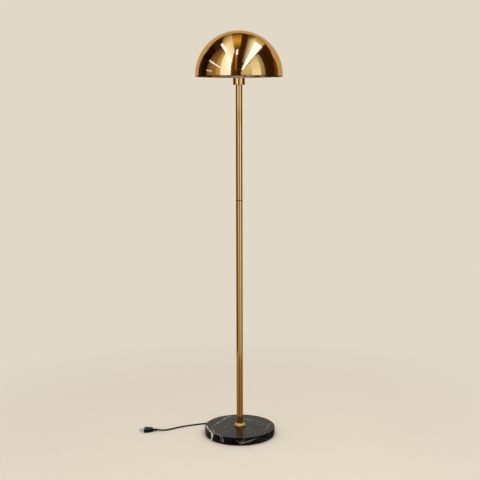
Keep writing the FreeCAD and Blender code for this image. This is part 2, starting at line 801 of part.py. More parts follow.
def make_cord_grommet():
    """Rubber strain relief: a block that fills the channel's mouth and a taper outside the base."""
    rim = s.base_diameter / 2
    block = doc.addObject("Part::Box", "grommet_block")
    bind(block, Length=s.relief_block_depth, Width=s.cable_channel_width - s.snug_fit * 2,
         Height=s.cable_channel_depth - s.snug_fit)
    place(block, across=rim - s.relief_block_depth, back=s.snug_fit - s.cable_channel_width / 2,
          rise=s.felt_thickness)
    taper = doc.addObject("Part::Cone", "grommet_taper")
    bind(taper, Radius1=s.relief_root_diameter / 2, Radius2=s.relief_tip_diameter / 2,
         Height=s.relief_length)
    lie_along_across(taper, rim, EXIT_HEIGHT)
    bore = cylinder("grommet_bore", CORD + s.snug_fit * 2, s.relief_block_depth + s.relief_length)
    lie_along_across(bore, rim - s.relief_block_depth, EXIT_HEIGHT)
    blank = doc.addObject("Part::MultiFuse", "grommet_blank")
    blank.Shapes = [block, taper]
    grommet = cut("cord_grommet", blank, bore)
    place(grommet, turn=s.cord_exit_angle)
    keep(grommet, "cord_grommet")


def lie_along_across(thing, start, rise=None):
    """Lay a piece that was made along Z so that it runs out along X."""
    thing.Placement = FreeCAD.Placement(Vector(), FreeCAD.Rotation(Vector(0, 1, 0), 90))
    place(thing, across=start, rise=rise)


def make_inner_cable():
    """Cord from the strain relief through the base and up the pole into the lampholder."""
    tip = s.base_diameter.number / 2 + s.relief_length.number
    block = s.base_diameter.number / 2 - s.relief_block_depth.number
    bend = s.cable_bend_radius.number
    low = CORD.number / 2 + s.felt_thickness.number + s.cable_clearance.number
    exit_rise = EXIT_HEIGHT.number
    top = (CORE_BOTTOM - s.wire_drop).number
    keep_route_tube("inner_cable", [
        radial_point(tip, exit_rise), radial_point(block - bend, exit_rise),
        radial_point(bend / ARC_SHARE, low), Vector(0, 0, low), Vector(0, 0, top)], CORD.number)


def make_core_wires():
    """The two insulated cores, from the end of the cable to the terminals."""
    foot, head = (CORE_BOTTOM - s.wire_drop).number, CORE_BOTTOM.number
    step = s.wire_drop.number / 3
    wires = []
    for side in (-1, 1):
        near, far = s.wire_spacing.number / 2 * side, s.terminal_spacing.number / 2 * side
        edges, radii = rounded_route([
            Vector(near, 0, foot), Vector(near, 0, foot + step), Vector(far, 0, head - step),
            Vector(far, 0, head)])
        tube, length, share = sweep_tube(edges, s.wire_diameter.number)
        wires.append(tube)
    keep_shape("core_wires", Part.makeCompound(wires))


# ---------------------------------------------------------------- cord outside the lamp

# between the strain relief and the hank, and between the hank and the plug; each route's run at the
# hank, and its run at the strain relief or the plug, follow from those pieces
ROOT_ROUTE = (
    (87.75, 154.91, 6.4), (84.74, 169.06, 4.4), (76.08, 180.14, 4.2), (63.72, 185.91, 6.6))
LEAD_ROUTE = (
    (-60.7, 185.5, 2.9), (-70.8, 183.1, 2.9), (-80.6, 176.8, 2.9), (-92.2, 163.8, 2.9),
    (-108.5, 141.0, 2.9), (-126.0, 114.0, 2.9), (-139.8, 104.5, 2.9), (-158.0, 99.6, 2.9),
    (-181.0, 91.2, 2.9), (-205.0, 81.8, 2.9), (-228.5, 69.8, 2.9), (-249.5, 56.5, 2.9),
    (-267.0, 43.5, 2.9), (-285.0, 33.0, 2.9), (-300.0, 26.6, 4.6))
RELIEF_RUN, HANK_IN_RUN, HANK_OUT_RUN, PLUG_RUN = 14.9, 13.1, 10.1, 8.0
HANK_LOW = s.strap_thickness + s.strap_gap + CORD / 2
HANK_TOP = HANK_LOW + s.hank_layer_pitch


def flare(side, middle, radius, waist):
    """Where a strand that is drawn in at the waist meets its fold, and its heading there, outward."""
    reach, rise = s.hank_reach.number, waist - middle
    sign = math.copysign(1, rise)
    bow = (reach * reach + rise * rise - radius * radius) / (2 * (radius - abs(rise)))
    angle = math.atan2(reach, bow + abs(rise))
    point = Vector(side * bow * math.sin(angle), waist + sign * bow * (1 - math.cos(angle)), 0)
    return point, Vector(side * math.cos(angle), sign * math.sin(angle), 0), bow * angle


def fold_of(index):
    """Side, middle, radius and height of a fold: the folds spiral in and then out again."""
    inward = min(index, HANK_FOLDS - 1 - index)
    pitch = s.hank_pitch.number
    radius = s.hank_fold_radius.number + pitch * (HANK_FOLDS / 2 - 1 - inward) / 2
    middle = -pitch / 2 if inward % 2 else 0.0
    rise = HANK_TOP.number if index < HANK_FOLDS / 2 else HANK_LOW.number
    return (-1 if index % 2 == 0 else 1), middle, radius, rise


def waist_of(index):
    """Distance from the hank's middle line at which a strand passes the waist."""
    inward = min(index, HANK_FOLDS - index)
    return s.hank_waist_pitch.number * (HANK_FOLDS / 4 - inward // 2) * (-1) ** inward


def hank_edges():
    """The wound cord's middle line: straight ends, drawn-in strands and their folds."""
    up = Vector(0, 0, 1)
    outer = fold_of(0)[2]
    point, outward, bow_length = flare(1, 0.0, outer, waist_of(0))
    level = up * HANK_TOP.number
    knots = [(point + outward * CORD.number + level, -outward), (point + level, -outward)]
    climbs = set()
    for i in range(HANK_FOLDS):
        side, middle, radius, rise = fold_of(i)
        heading = Vector(side, 0, 0)
        last_rise = fold_of(i - 1)[3] if i else rise
        if last_rise != rise:
            climbs.update((len(knots) - 1, len(knots)))
            heading = unit(heading + up * ((rise - last_rise) / bow_length))
        knots.append((Vector(0, waist_of(i), (rise + last_rise) / 2), heading))
        level = up * rise
        point, outward, bow_length = flare(side, middle, radius, waist_of(i))
        knots.append((point + level, outward))
        over = math.copysign(1, waist_of(i + 1) - waist_of(i))
        knots.append((Vector(side * (s.hank_reach.number + radius), middle, rise), Vector(0, over, 0)))
        point, outward, bow_length = flare(side, middle, radius, waist_of(i + 1))
        knots.append((point + level, -outward))
    knots.append((Vector(0, waist_of(HANK_FOLDS), HANK_LOW.number), Vector(-1, 0, 0)))
    point, outward, bow_length = flare(-1, 0.0, outer, waist_of(HANK_FOLDS))
    knots += [(point + level, outward), (point + outward * CORD.number + level, outward)]
    edges = []
    for i, (start, end) in enumerate(zip(knots, knots[1:])):
        if i in climbs:
            edges += biarc_edges(start[0], start[1], end[0], end[1])
        else:
            edges.append(arc_edge(start[0], start[1], end[0]))
    return edges, knots


def make_cord():
    """Free cord in three stretches: from the strain relief, the tied hank, and on to the plug."""
    edges, knots = hank_edges()
    shift = Vector(s.hank_across.number, s.hank_back.number, 0)
    tip = s.base_diameter.number / 2 + s.relief_length.number
    starts = [radial_point(reach, EXIT_HEIGHT.number) for reach in (tip, tip + RELIEF_RUN)]
    plug = Vector(s.plug_across.number, s.plug_back.number, (s.plug_thickness / 2).number)
    plug_ends = [plug + Vector(PLUG_RUN, 0, 0), plug]
    (hank_in, heading_in), (hank_out, heading_out) = knots[0], knots[-1]
    hank_ins = [hank_in + shift - heading_in * HANK_IN_RUN, hank_in + shift]
    hank_outs = [hank_out + shift, hank_out + shift + heading_out * HANK_OUT_RUN]
    root = keep_route_tube(
        "cord_root", starts + [Vector(p) for p in ROOT_ROUTE] + hank_ins, CORD.number)
    tube, length, share = sweep_tube(edges, CORD.number)
    hank = keep_shape("cord_hank", tube)
    place(hank, across=s.hank_across, back=s.hank_back)
    lead = keep_route_tube(
        "cord_lead", hank_outs + [Vector(p) for p in LEAD_ROUTE] + plug_ends, CORD.number)
    line = Part.Wire(edges).discretize(Distance=2.0)
    itself = least_gap(line, line, CORD.number, apart=int(6 * CORD.number))
    print("cord_hank: length {:.1f}, volume share {:.4f}, least gap to itself {:.2f}".format(
        length, share, itself))
    world = [point + shift for point in line]
    root_line, lead_line = [Part.Wire(part).discretize(Distance=2.0) for part in (root, lead)]
    print("gaps: root to hank {:.2f}, hank to lead {:.2f}, root to lead {:.2f}".format(
        least_gap(root_line[:-5], world, CORD.number), least_gap(lead_line[8:], world, CORD.number),
        least_gap(root_line, lead_line, CORD.number)))


def rounded_box_section(body, name, half_width, low, high, corner):
    """Upright rounded rectangle on the YZ plane, from low to high."""
    side = half_width - corner
    return outline(body, name, "YZ_Plane", [
        (-side, low), (side, low, corner), (half_width, low + corner), (half_width, high - corner, corner),
        (side, high), (-side, high, corner), (-half_width, high - corner),
        (-half_width, low + corner, corner)])


def make_hank_strap():
    """Flat strap round the hank's waist."""
    body = doc.addObject("PartDesign::Body", "hank_strap")
    corner = CORD / 2 + s.strap_gap
    half_width = s.hank_waist_pitch * (HANK_FOLDS / 4) + corner
    low, high = s.strap_thickness, HANK_TOP + corner
    wall = s.strap_thickness
    outside = rounded_box_section(
        body, "strap_outside", half_width + wall, low - wall, high + wall, corner + wall)
    band = body.newObject("PartDesign::Pad", "strap_band")
    band.Profile = outside
    band.Midplane = True
    band.setExpression("Length", s.strap_width.text)
    inside = rounded_box_section(body, "strap_inside", half_width, low, high, corner)
    hollow = body.newObject("PartDesign::Pocket", "strap_hollow")
    hollow.Profile = inside
    hollow.Midplane = True
    hollow.setExpression("Length", (s.strap_width * 2).text)
    place(body, across=s.hank_across, back=s.hank_back)
    keep(body, "hank_strap")


# ---------------------------------------------------------------- plug


def face_left(thing):
    """Turn a piece that was built along X so that it runs from the cord's end the other way."""
    thing.Placement = FreeCAD.Placement(Vector(), FreeCAD.Rotation(Vector(0, 0, 1), 180))
    place(thing, across=s.plug_across, back=s.plug_back, rise=s.plug_thickness / 2)


def make_plug():
    boot = doc.addObject("Part::Cone", "boot_cone")
    bind(boot, Radius1=s.plug_boot_tip_diameter / 2, Radius2=s.plug_boot_root_diameter / 2,
         Height=s.plug_boot_length)
    lie_along_across(boot, s.plug_boot_length * 0)
    holder = doc.addObject("Part::Compound", "plug_boot")
    holder.Links = [boot]
    face_left(holder)
    keep(holder, "plug_boot")
    keep(plug_housing(), "plug_body")
    pins = doc.addObject("Part::Compound", "plug_pins")
    pins.Links = [plug_pin(side) for side in (-1, 1)]
    face_left(pins)
    keep(pins, "plug_pins")


def plug_pin(side):
    pin = cylinder("pin_left" if side < 0 else "pin_right", s.pin_diameter, s.pin_length)
    lie_along_across(pin, s.plug_boot_length + s.plug_length)
    place(pin, back=s.pin_spacing / 2 * side)
    return pin


def plug_housing():
    """Flat moulded housing that widens from the boot, with its long edges cut away."""
    rear, half, tail = s.plug_boot_length, s.plug_width / 2, s.plug_tail_width / 2
    front, wide = rear + s.plug_length, rear + s.plug_shoulder
    plan = doc.addObject("PartDesign::Body", "plug_plan")
    sketch = outline(plan, "plug_plan_section", "XY_Plane", [
        (rear, -tail), (wide, -half), (front, -half), (front, half), (wide, half), (rear, tail)])
    pad = plan.newObject("PartDesign::Pad", "plug_plan_pad")
    pad.Profile = sketch
    pad.Midplane = True
    pad.setExpression("Length", s.plug_thickness.text)
    end = doc.addObject("PartDesign::Body", "plug_end")
    high, edge = s.plug_thickness / 2, s.plug_edge
    sketch = outline(end, "plug_end_section", "YZ_Plane", [
        (-(half - edge), -high), (half - edge, -high), (half, -(high - edge)), (half, high - edge),
        (half - edge, high), (-(half - edge), high), (-half, high - edge), (-half, -(high - edge))])
    pad = end.newObject("PartDesign::Pad", "plug_end_pad")
    pad.Profile = sketch
    pad.setExpression("Length", front.text)
    housing = doc.addObject("Part::MultiCommon", "plug_body")
    housing.Shapes = [plan, end]
    face_left(housing)
    return housing


# ---------------------------------------------------------------- build, check and write

for make in (
        make_marble_base, make_felt_pad, make_base_collar, make_base_fixings, make_pole,
        make_lampholder_cup, make_lampholder_cap, make_lampholder_skirt, make_lampholder_core,
        make_contacts, make_switch, make_dome_shade, make_shade_carrier, make_shade_rings, make_bulb,
        make_cord_grommet, make_inner_cable, make_core_wires, make_cord, make_hank_strap, make_plug):
    make()
doc.recompute()

faults = [thing.Name for thing in doc.Objects if {"Invalid", "Error"} & set(thing.State)]
faults += [node.Label for node in nodes if node.Shape.isNull() or not node.Shape.isValid()]
if faults:
    raise RuntimeError("not sound: " + ", ".join(faults))

for node in nodes:
    node.Shape.exportStep("parts/{}.step".format(node.Label))
print("{} pieces".format(len(nodes)))
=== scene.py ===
"""Dresses the mushroom floor lamp: cord, fine detail, finishes, studio and camera."""

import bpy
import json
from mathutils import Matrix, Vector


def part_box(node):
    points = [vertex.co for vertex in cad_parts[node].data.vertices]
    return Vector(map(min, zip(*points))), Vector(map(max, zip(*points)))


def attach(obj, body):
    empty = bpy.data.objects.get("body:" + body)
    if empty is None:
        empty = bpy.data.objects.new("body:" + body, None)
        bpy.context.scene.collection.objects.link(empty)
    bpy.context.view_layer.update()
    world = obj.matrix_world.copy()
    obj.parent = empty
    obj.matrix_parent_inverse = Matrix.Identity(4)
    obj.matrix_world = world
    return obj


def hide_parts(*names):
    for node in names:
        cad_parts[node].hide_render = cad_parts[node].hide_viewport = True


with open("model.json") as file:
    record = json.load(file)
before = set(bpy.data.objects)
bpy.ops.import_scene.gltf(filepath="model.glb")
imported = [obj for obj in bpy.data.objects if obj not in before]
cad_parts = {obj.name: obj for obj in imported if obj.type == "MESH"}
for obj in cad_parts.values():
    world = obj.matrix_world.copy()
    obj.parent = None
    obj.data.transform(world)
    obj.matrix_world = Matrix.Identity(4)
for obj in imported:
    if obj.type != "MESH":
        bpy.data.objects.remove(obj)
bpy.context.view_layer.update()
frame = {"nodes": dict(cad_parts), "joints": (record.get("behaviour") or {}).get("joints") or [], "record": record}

import json
import math

import bpy
from bpy.props import FloatProperty, FloatVectorProperty, IntProperty, PointerProperty
from mathutils import Matrix, Vector

bl_info = {
    "name": "Mushroom Floor Lamp",
    "version": (1, 0, 0),
    "blender": (4, 5, 0),
    "location": "3D View > Sidebar > Floor Lamp",
    "description": "Dresses a brass mushroom floor lamp on a marble base",
    "category": "Object",
}

# ---------------------------------------------------------------- settings


def length(label, about, metres):
    return FloatProperty(name=label, description=about, default=metres, min=0.0, unit="LENGTH", precision=5)


def colour(label, about, red, green, blue):
    return FloatVectorProperty(
        name=label, description=about, default=(red, green, blue), min=0.0, max=1.0, size=3, subtype="COLOR")


def share(label, about, value):
    return FloatProperty(name=label, description=about, default=value, min=0.0, max=1.0, subtype="FACTOR")


def count(label, about, value):
    return IntProperty(name=label, description=about, default=value, min=1)


class LampSizes(bpy.types.PropertyGroup):
    cord_diameter: length("Cord Diameter", "Outside diameter of the cord", 0.0058)
    hank_reach: length("Hank Reach", "From the hank's waist to the middle of its folds", 0.046)
    hank_fold_radius: length("Hank Fold Radius", "Middle line radius of the innermost folds", 0.0174)
    hank_pitch: length("Hank Pitch", "Step from one fold to the next one outward", 0.0066)
    hank_waist_pitch: length("Waist Pitch", "Step between strands at the tie", 0.0086)
    relief_rib: length("Relief Rib", "Thickness of a rib on the strain relief and the plug's boot", 0.0012)
    relief_ribs: count("Relief Ribs", "Ribs on the strain relief and on the plug's boot", 6)
    thread_pitch: length("Thread Pitch", "Pitch of the thread on the lampholder", 0.0026)
    thread_ridge: length("Thread Ridge", "Thickness of the thread's ridge", 0.0010)
    knurl_width: length("Knurl Width", "Thickness of a grip bar on the shade rings", 0.0014)
    ring_bars: count("Ring Bars", "Grip bars round each shade ring", 36)
    knob_bars: count("Knob Bars", "Grip bars round the switch knob", 20)
    knob_bar_width: length("Knob Bar Width", "Thickness of a grip bar on the switch knob", 0.00112)
    knob_bar_length: length("Knob Bar Length", "Length of a grip bar on the switch knob", 0.0034)
    knob_bar_setback: length("Knob Bar Setback", "From the knob's inner end to its bars' middle", 0.0022)


class LampColours(bpy.types.PropertyGroup):
    brass: colour("Brass", "Polished brass", 0.66, 0.41, 0.145)
    brass_deep: colour("Deep Brass", "Brass where it has toned down", 0.58, 0.34, 0.105)
    # painted shade on the dome's rim edge; the same dark colour also marks the real joint line at the tubes' seam
    brass_rim: colour("Brass Rim", "Dark toned edge under the dome", 0.110, 0.045, 0.006)
    marble: colour("Marble", "Ground of the black marble", 0.0030, 0.0030, 0.0034)
    marble_cloud: colour("Marble Cloud", "Greyer clouds in the marble", 0.010, 0.010, 0.011)
    marble_vein: colour("Marble Vein", "Pale veins in the marble", 0.62, 0.61, 0.58)
    felt: colour("Felt", "Felt under the base", 0.020, 0.019, 0.018)
    steel: colour("Steel", "Plated steel fixings", 0.56, 0.56, 0.55)
    holder: colour("Lampholder", "Moulded lampholder", 0.70, 0.68, 0.62)
    rubber: colour("Cord", "Outer sheath of the cord", 0.0045, 0.0042, 0.0042)
    opal: colour("Opal", "Opal globe of the bulb", 0.86, 0.85, 0.81)


class StudioSettings(bpy.types.PropertyGroup):
    paper: colour("Paper", "Floor and backdrop", 0.760, 0.686, 0.578)
    fill: share("Fill", "Strength of the even light all round", 0.72)
    left_strip: FloatProperty(name="Left Strip", description="Power of the left ceiling light",
                              default=24.0, min=0.0, unit="POWER")
    right_strip: FloatProperty(name="Right Strip", description="Power of the right ceiling light",
                               default=58.0, min=0.0, unit="POWER")


def sizes():
    return bpy.context.scene.lamp_sizes


def colours():
    return bpy.context.scene.lamp_colours


def studio():
    return bpy.context.scene.lamp_studio


# ---------------------------------------------------------------- places read from the frame


class Place:
    """Lowest and highest corner, middle and half size of a CAD node."""

    def __init__(self, node):
        self.low, self.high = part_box(node)
        self.middle, self.half = (self.low + self.high) / 2, (self.high - self.low) / 2


def radius_near(node, height, within=0.0005):
    """Largest distance from the lamp's axis of a CAD node's corners near a height."""
    return max(math.hypot(v.co.x, v.co.y) for v in frame["nodes"][node].data.vertices
               if abs(v.co.z - height) < within)


# heights of the dome's lowest edge, of the seam between the tubes and of the switch's axis
RIM_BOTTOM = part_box("dome_shade")[0].z
POLE_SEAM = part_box("upper_tube")[0].z
SWITCH_AXIS = next(joint for joint in frame["joints"] if joint["name"] == "switch_turn")["pos_m"][2]


# ---------------------------------------------------------------- finishes


def add_node(tree, kind, settings, inputs):
    """Add a node with its settings; an input is named by its socket or, as i0 or i1, by its place."""
    made = tree.nodes.new(kind)
    for key, value in settings.items():
        setattr(made, key, value)
    for key, value in inputs.items():
        socket = made.inputs[int(key[1:])] if key[1:].isdigit() else made.inputs[key.replace("_", " ")]
        if isinstance(value, bpy.types.NodeSocket):
            tree.links.new(value, socket)
        else:
            socket.default_value = value
    return made


class Finish:
    """A node material round one shader; its patterns read Object coordinates."""

    def __init__(self, name, **sockets):
        self.material = bpy.data.materials.new(name)
        self.material.use_nodes = True
        self.tree = self.material.node_tree
        self.shader = self.tree.nodes["Principled BSDF"]
        for socket, value in sockets.items():
            self.shader.inputs[socket.replace("_", " ")].default_value = value
        self.place = self.node("TexCoord").outputs["Object"]

    def node(self, kind, settings=None, **inputs):
        return add_node(self.tree, "ShaderNode" + kind, settings or {}, inputs)

    def maths(self, operation, *values):
        inputs = {"i" + str(i): value for i, value in enumerate(values)}
        return self.node("Math", {"operation": operation}, **inputs).outputs[0]

    def stretched(self, x, y, z, turn=(0.0, 0.0, 0.0)):
        return self.node("Mapping", Vector=self.place, Scale=(x, y, z), Rotation=turn).outputs[0]

    def noise(self, scale, detail=3.0, roughness=0.5, where=None, distortion=0.0):
        return self.node("TexNoise", Vector=where or self.place, Scale=scale, Detail=detail,
                         Roughness=roughness, Distortion=distortion).outputs["Fac"]

    def between(self, value, low, high, start=0.0, end=1.0):
        return self.node("MapRange", {"interpolation_type": "SMOOTHSTEP"}, Value=value,
                         From_Min=low, From_Max=high, To_Min=start, To_Max=end).outputs["Result"]

    def mix(self, factor, first, second):
        first, second = [c if isinstance(c, bpy.types.NodeSocket) else (*c, 1.0) for c in (first, second)]
        made = self.node("Mix", {"data_type": "RGBA"}, i0=factor, i6=first, i7=second)
        return made.outputs[2]

    def feed(self, socket, value):
        self.tree.links.new(value, self.shader.inputs[socket])

    def relief(self, height, depth, strength=1.0):
        bump = self.node("Bump", Height=height, Distance=depth, Strength=strength)
        self.feed("Normal", bump.outputs[0])

    def worn(self, first, second, scale, rough_low, rough_high, grain, depth):
        """Two close tones in soft patches, uneven gloss and a fine grain."""
        patches = self.between(self.noise(scale, 4.0, 0.6), 0.35, 0.68)
        self.feed("Base Color", self.mix(patches, first, second))
        gloss = self.between(self.noise(scale * 3.0, 5.0, 0.65), 0.3, 0.7, rough_low, rough_high)
        self.feed("Roughness", gloss)
        self.relief(self.noise(grain, 2.0, 0.6), depth)


def tone(values, factor):
    return tuple(min(1.0, v * factor) for v in values)


# heights over the dome's lowest edge at which its band of painted shade starts and is full, from below and above
RIM_SHADE_BAND = ((-0.0040, -0.0035), (0.0030, 0.0022))
# distances from the seam between the tubes at which its toned line is full and ends
SEAM_LINE = (0.0010, 0.0017)


def turned_brass(name, rough_low, rough_high):
    """Polished brass with faint spinning lines round the axis, with painted shade at the dome's rim and a dark
    joint line at the seam.
    """
    c = colours()
    brass = Finish(name, Metallic=1.0, Anisotropic=0.3, Anisotropic_Rotation=0.25,
                   Specular_Tint=(0.88, 0.75, 0.57, 1.0))
    patches = brass.between(brass.noise(9.0, 4.0, 0.6), 0.35, 0.7)
    streaks = brass.noise(34.0, 3.0, 0.6, brass.stretched(1.0, 1.0, 9.0))
    toned = brass.maths("MULTIPLY", patches, brass.between(streaks, 0.3, 0.75))
    ground = brass.mix(toned, c.brass, c.brass_deep)
    height = brass.node("SeparateXYZ", Vector=brass.place).outputs["Z"]
    # painted shade: a dark band over the lowest few millimetres of the dome's rim
    over, under = [brass.between(height, RIM_BOTTOM + start, RIM_BOTTOM + full) for start, full in RIM_SHADE_BAND]
    rim_shade = brass.maths("MULTIPLY", over, under)
    off_seam = brass.maths("ABSOLUTE", brass.maths("SUBTRACT", height, POLE_SEAM))
    seam = brass.between(off_seam, *SEAM_LINE, 1.0, 0.0)
    # painted shade at the dome's rim, and the dark joint line at the seam between the tubes
    brass.feed("Base Color", brass.mix(brass.maths("MAXIMUM", rim_shade, seam), ground, c.brass_rim))
    lines = brass.noise(260.0, 2.0, 0.7, brass.stretched(0.04, 0.04, 14.0))
    gloss = brass.maths("ADD", brass.between(streaks, 0.3, 0.7, rough_low, rough_high),
                        brass.between(lines, 0.35, 0.75, 0.0, 0.035))
    brass.feed("Roughness", gloss)
    brass.relief(lines, 0.0000016, 0.3)
    across = brass.node("VectorMath", {"operation": "CROSS_PRODUCT"}, i0=(0.0, 0.0, 1.0), i1=brass.place)
    round_axis = brass.node("VectorMath", {"operation": "NORMALIZE"}, i0=across.outputs[0])
    brass.feed("Tangent", round_axis.outputs[0])
    return brass.material


# plane of each vein (across, back, up), its distance, half width, paleness, middle and reach
VEINS = (
    ((0.959, 0.279, -0.043), -0.1172, 0.0026, 1.00, (-0.108, -0.050, 0.020), 0.075),
    ((0.985, 0.174, 0.000), -0.1008, 0.0010, 0.60, (-0.094, -0.050, 0.031), 0.040),
    ((0.775, 0.632, 0.000), -0.1145, 0.0010, 0.65, (-0.066, -0.092, 0.040), 0.046),
    ((0.855, -0.519, 0.000), -0.0006, 0.0007, 0.45, (-0.070, -0.114, 0.020), 0.016),
    ((-0.207, -0.103, 0.973), 0.0254, 0.0009, 0.60, (0.032, -0.130, 0.020), 0.040),
    ((-0.260, -0.090, 0.961), 0.0185, 0.0007, 0.40, (0.026, -0.132, 0.014), 0.030),
    ((0.000, 0.980, 0.200), -0.1170, 0.0011, 0.85, (0.040, -0.125, 0.031), 0.016),
    ((0.760, 0.650, 0.000), 0.0100, 0.0007, 0.26, (0.060, -0.055, 0.031), 0.055),
    ((0.952, -0.305, 0.000), -0.0435, 0.0006, 0.24, (-0.045, 0.004, 0.031), 0.070),
    ((0.500, 0.860, 0.100), 0.0900, 0.0012, 0.55, (0.045, 0.085, 0.020), 0.080),
    ((-0.860, 0.500, 0.200), 0.0950, 0.0016, 0.75, (-0.075, 0.075, 0.020), 0.080),
    ((0.940, -0.300, 0.150), 0.1150, 0.0010, 0.50, (0.118, 0.000, 0.020), 0.060),
)


def black_marble():
    """Polished black marble: grey clouds, pale veins on warped planes and a broken net of hair-fine ones."""
    c = colours()
    stone = Finish("black_marble", Roughness=0.10, IOR=1.52, Specular_IOR_Level=0.105,
                   Specular_Tint=(0.74, 0.86, 1.0, 1.0))
    warp = stone.node("TexNoise", Vector=stone.place, Scale=15.0, Detail=5.0, Roughness=0.6)
    bent = stone.node("VectorMath", {"operation": "MULTIPLY_ADD"}, i0=warp.outputs["Color"],
                      i1=(0.014, 0.014, 0.010), i2=stone.place).outputs[0]
    swell = stone.noise(48.0, 4.0, 0.7)
    pale = None
    for (across, back, up), offset, width, strength, centre, reach in VEINS:
        run = stone.node("VectorMath", {"operation": "DOT_PRODUCT"}, i0=bent, i1=(across, back, up))
        apart = stone.maths("ABSOLUTE", stone.maths("SUBTRACT", run.outputs["Value"], offset))
        wide = stone.between(swell, 0.34, 0.72, width * 0.25, width * 1.5)
        near = stone.maths("DIVIDE", apart, wide)
        away = stone.node("VectorMath", {"operation": "DISTANCE"}, i0=stone.place, i1=centre).outputs["Value"]
        kept = stone.between(away, reach * 0.6, reach, strength, 0.0)
        vein = stone.maths("MULTIPLY", stone.between(near, 0.35, 1.35, 1.0, 0.0), kept)
        pale = vein if pale is None else stone.maths("MAXIMUM", pale, vein)
    net = stone.node("TexVoronoi", {"feature": "DISTANCE_TO_EDGE"}, Vector=bent, Scale=17.0)
    hairs = stone.between(net.outputs["Distance"], 0.0, 0.020, 0.34, 0.0)
    broken = stone.between(stone.noise(26.0, 5.0, 0.7), 0.50, 0.68)
    pale = stone.maths("MAXIMUM", pale, stone.maths("MULTIPLY", hairs, broken))
    clouds = stone.between(stone.noise(20.0, 6.0, 0.65, bent), 0.48, 0.78)
    ground = stone.mix(clouds, c.marble, c.marble_cloud)
    stone.feed("Base Color", stone.mix(pale, ground, c.marble_vein))
    stone.feed("Roughness", stone.between(stone.noise(60.0, 5.0, 0.6), 0.3, 0.75, 0.09, 0.19))
    stone.relief(stone.maths("MULTIPLY_ADD", pale, 0.5, stone.noise(500.0, 2.0, 0.5)), 0.00001)
    return stone.material


def plain_finishes():
    """One finish for each kind of part, by the name of its material slot."""
    c = colours()
    steel = Finish("zinc_plated_steel", Metallic=1.0, Anisotropic=0.3)
    steel.worn(c.steel, tone(c.steel, 0.78), 70.0, 0.24, 0.42, 900.0, 0.00001)
    carrier = Finish("zinc_plated_sheet", Metallic=1.0)
    carrier.worn(tone(c.steel, 0.95), tone(c.steel, 0.7), 45.0, 0.30, 0.5, 700.0, 0.00001)
    felt = Finish("base_felt", Roughness=0.95, Sheen_Weight=0.25, Sheen_Roughness=0.6)
    felt.worn(c.felt, tone(c.felt, 1.9), 120.0, 0.85, 1.0, 1600.0, 0.0004)
    holder = Finish("lampholder_plastic", IOR=1.48, Coat_Weight=0.1)
    holder.worn(c.holder, tone(c.holder, 0.88), 60.0, 0.30, 0.44, 1400.0, 0.00002)
    contacts = Finish("contact_brass", Metallic=1.0)
    contacts.worn(c.brass, tone(c.brass_deep, 0.8), 80.0, 0.22, 0.4, 900.0, 0.00001)
    switch = Finish("switch_plastic", IOR=1.48)
    switch.worn((0.022, 0.021, 0.020), (0.040, 0.038, 0.036), 150.0, 0.32, 0.5, 1500.0, 0.00003)
    stem = Finish("switch_steel", Metallic=1.0)
    stem.worn(tone(c.steel, 0.9), tone(c.steel, 0.6), 150.0, 0.2, 0.36, 1200.0, 0.00001)
    opal = Finish("opal_globe", IOR=1.45, Subsurface_Weight=0.35, Subsurface_Scale=0.004)
    opal.worn(c.opal, tone(c.opal, 0.95), 30.0, 0.24, 0.34, 700.0, 0.00001)
    housing = Finish("bulb_housing", IOR=1.46)
    housing.worn((0.78, 0.77, 0.74), (0.70, 0.69, 0.65), 50.0, 0.34, 0.5, 1400.0, 0.00003)
    cap = Finish("bulb_cap_nickel", Metallic=1.0)
    cap.worn((0.62, 0.60, 0.55), (0.48, 0.46, 0.42), 90.0, 0.26, 0.4, 900.0, 0.00002)
    glass = Finish("bulb_insulation", IOR=1.5)
    glass.worn((0.030, 0.026, 0.024), (0.060, 0.050, 0.044), 90.0, 0.14, 0.3, 1100.0, 0.00001)
    rubber = Finish("cord_rubber", IOR=1.45, Specular_IOR_Level=0.12)
    rubber.worn(c.rubber, tone(c.rubber, 2.1), 90.0, 0.42, 0.62, 2200.0, 0.00006)
    wire = Finish("wire_insulation", IOR=1.46)
    wire.worn((0.16, 0.075, 0.035), (0.20, 0.10, 0.05), 160.0, 0.35, 0.5, 1800.0, 0.00002)
    strap = Finish("tie_strap", IOR=1.46, Sheen_Weight=0.2, Sheen_Roughness=0.5)
    strap.worn((0.018, 0.018, 0.019), (0.050, 0.050, 0.051), 260.0, 0.6, 0.85, 1900.0, 0.0002)
    plug = Finish("plug_rubber", IOR=1.46, Specular_IOR_Level=0.15)
    plug.worn(tone(c.rubber, 1.1), tone(c.rubber, 2.4), 70.0, 0.36, 0.58, 1700.0, 0.00005)
    pins = Finish("plug_nickel", Metallic=1.0)
    pins.worn((0.66, 0.64, 0.60), (0.50, 0.48, 0.44), 120.0, 0.18, 0.34, 1200.0, 0.00001)
    return {
        "plated_steel": steel, "carrier_metal": carrier, "felt": felt, "holder_plastic": holder,
        "contact_brass": contacts, "switch_plastic": switch, "switch_metal": stem, "bulb_opal": opal,
        "bulb_housing": housing, "bulb_cap_metal": cap, "bulb_insulation": glass, "cord_rubber": rubber,
        "wire_insulation": wire, "tie_strap": strap, "plug_rubber": plug, "plug_metal": pins}


finishes = {}


def finish(slot):
    """The finish of a material slot; all of them are made the first time one is asked for."""
    if slot not in finishes:
        finishes.update({name: made.material for name, made in plain_finishes().items()})
        finishes["polished_brass"] = turned_brass("polished_brass", 0.06, 0.10)
        finishes["marble"] = black_marble()
    return finishes[slot]


def coat(piece, material):
    """Give a piece one finish all over."""
    piece.data.materials.clear()
    piece.data.materials.append(material)


def coat_nodes(*slots):
    """Give each CAD node of the material slots its finish."""
    for part in frame["record"]["subparts"]:
        if part["material_slot"] in slots:
            coat(frame["nodes"][part["node"]], finish(part["material_slot"]))


def join_lamp(piece, slot, body="lamp"):
    """A new piece takes a material slot's finish and rides on a body."""
    coat(piece, finish(slot))
    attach(piece, body)


# ---------------------------------------------------------------- repeated detail


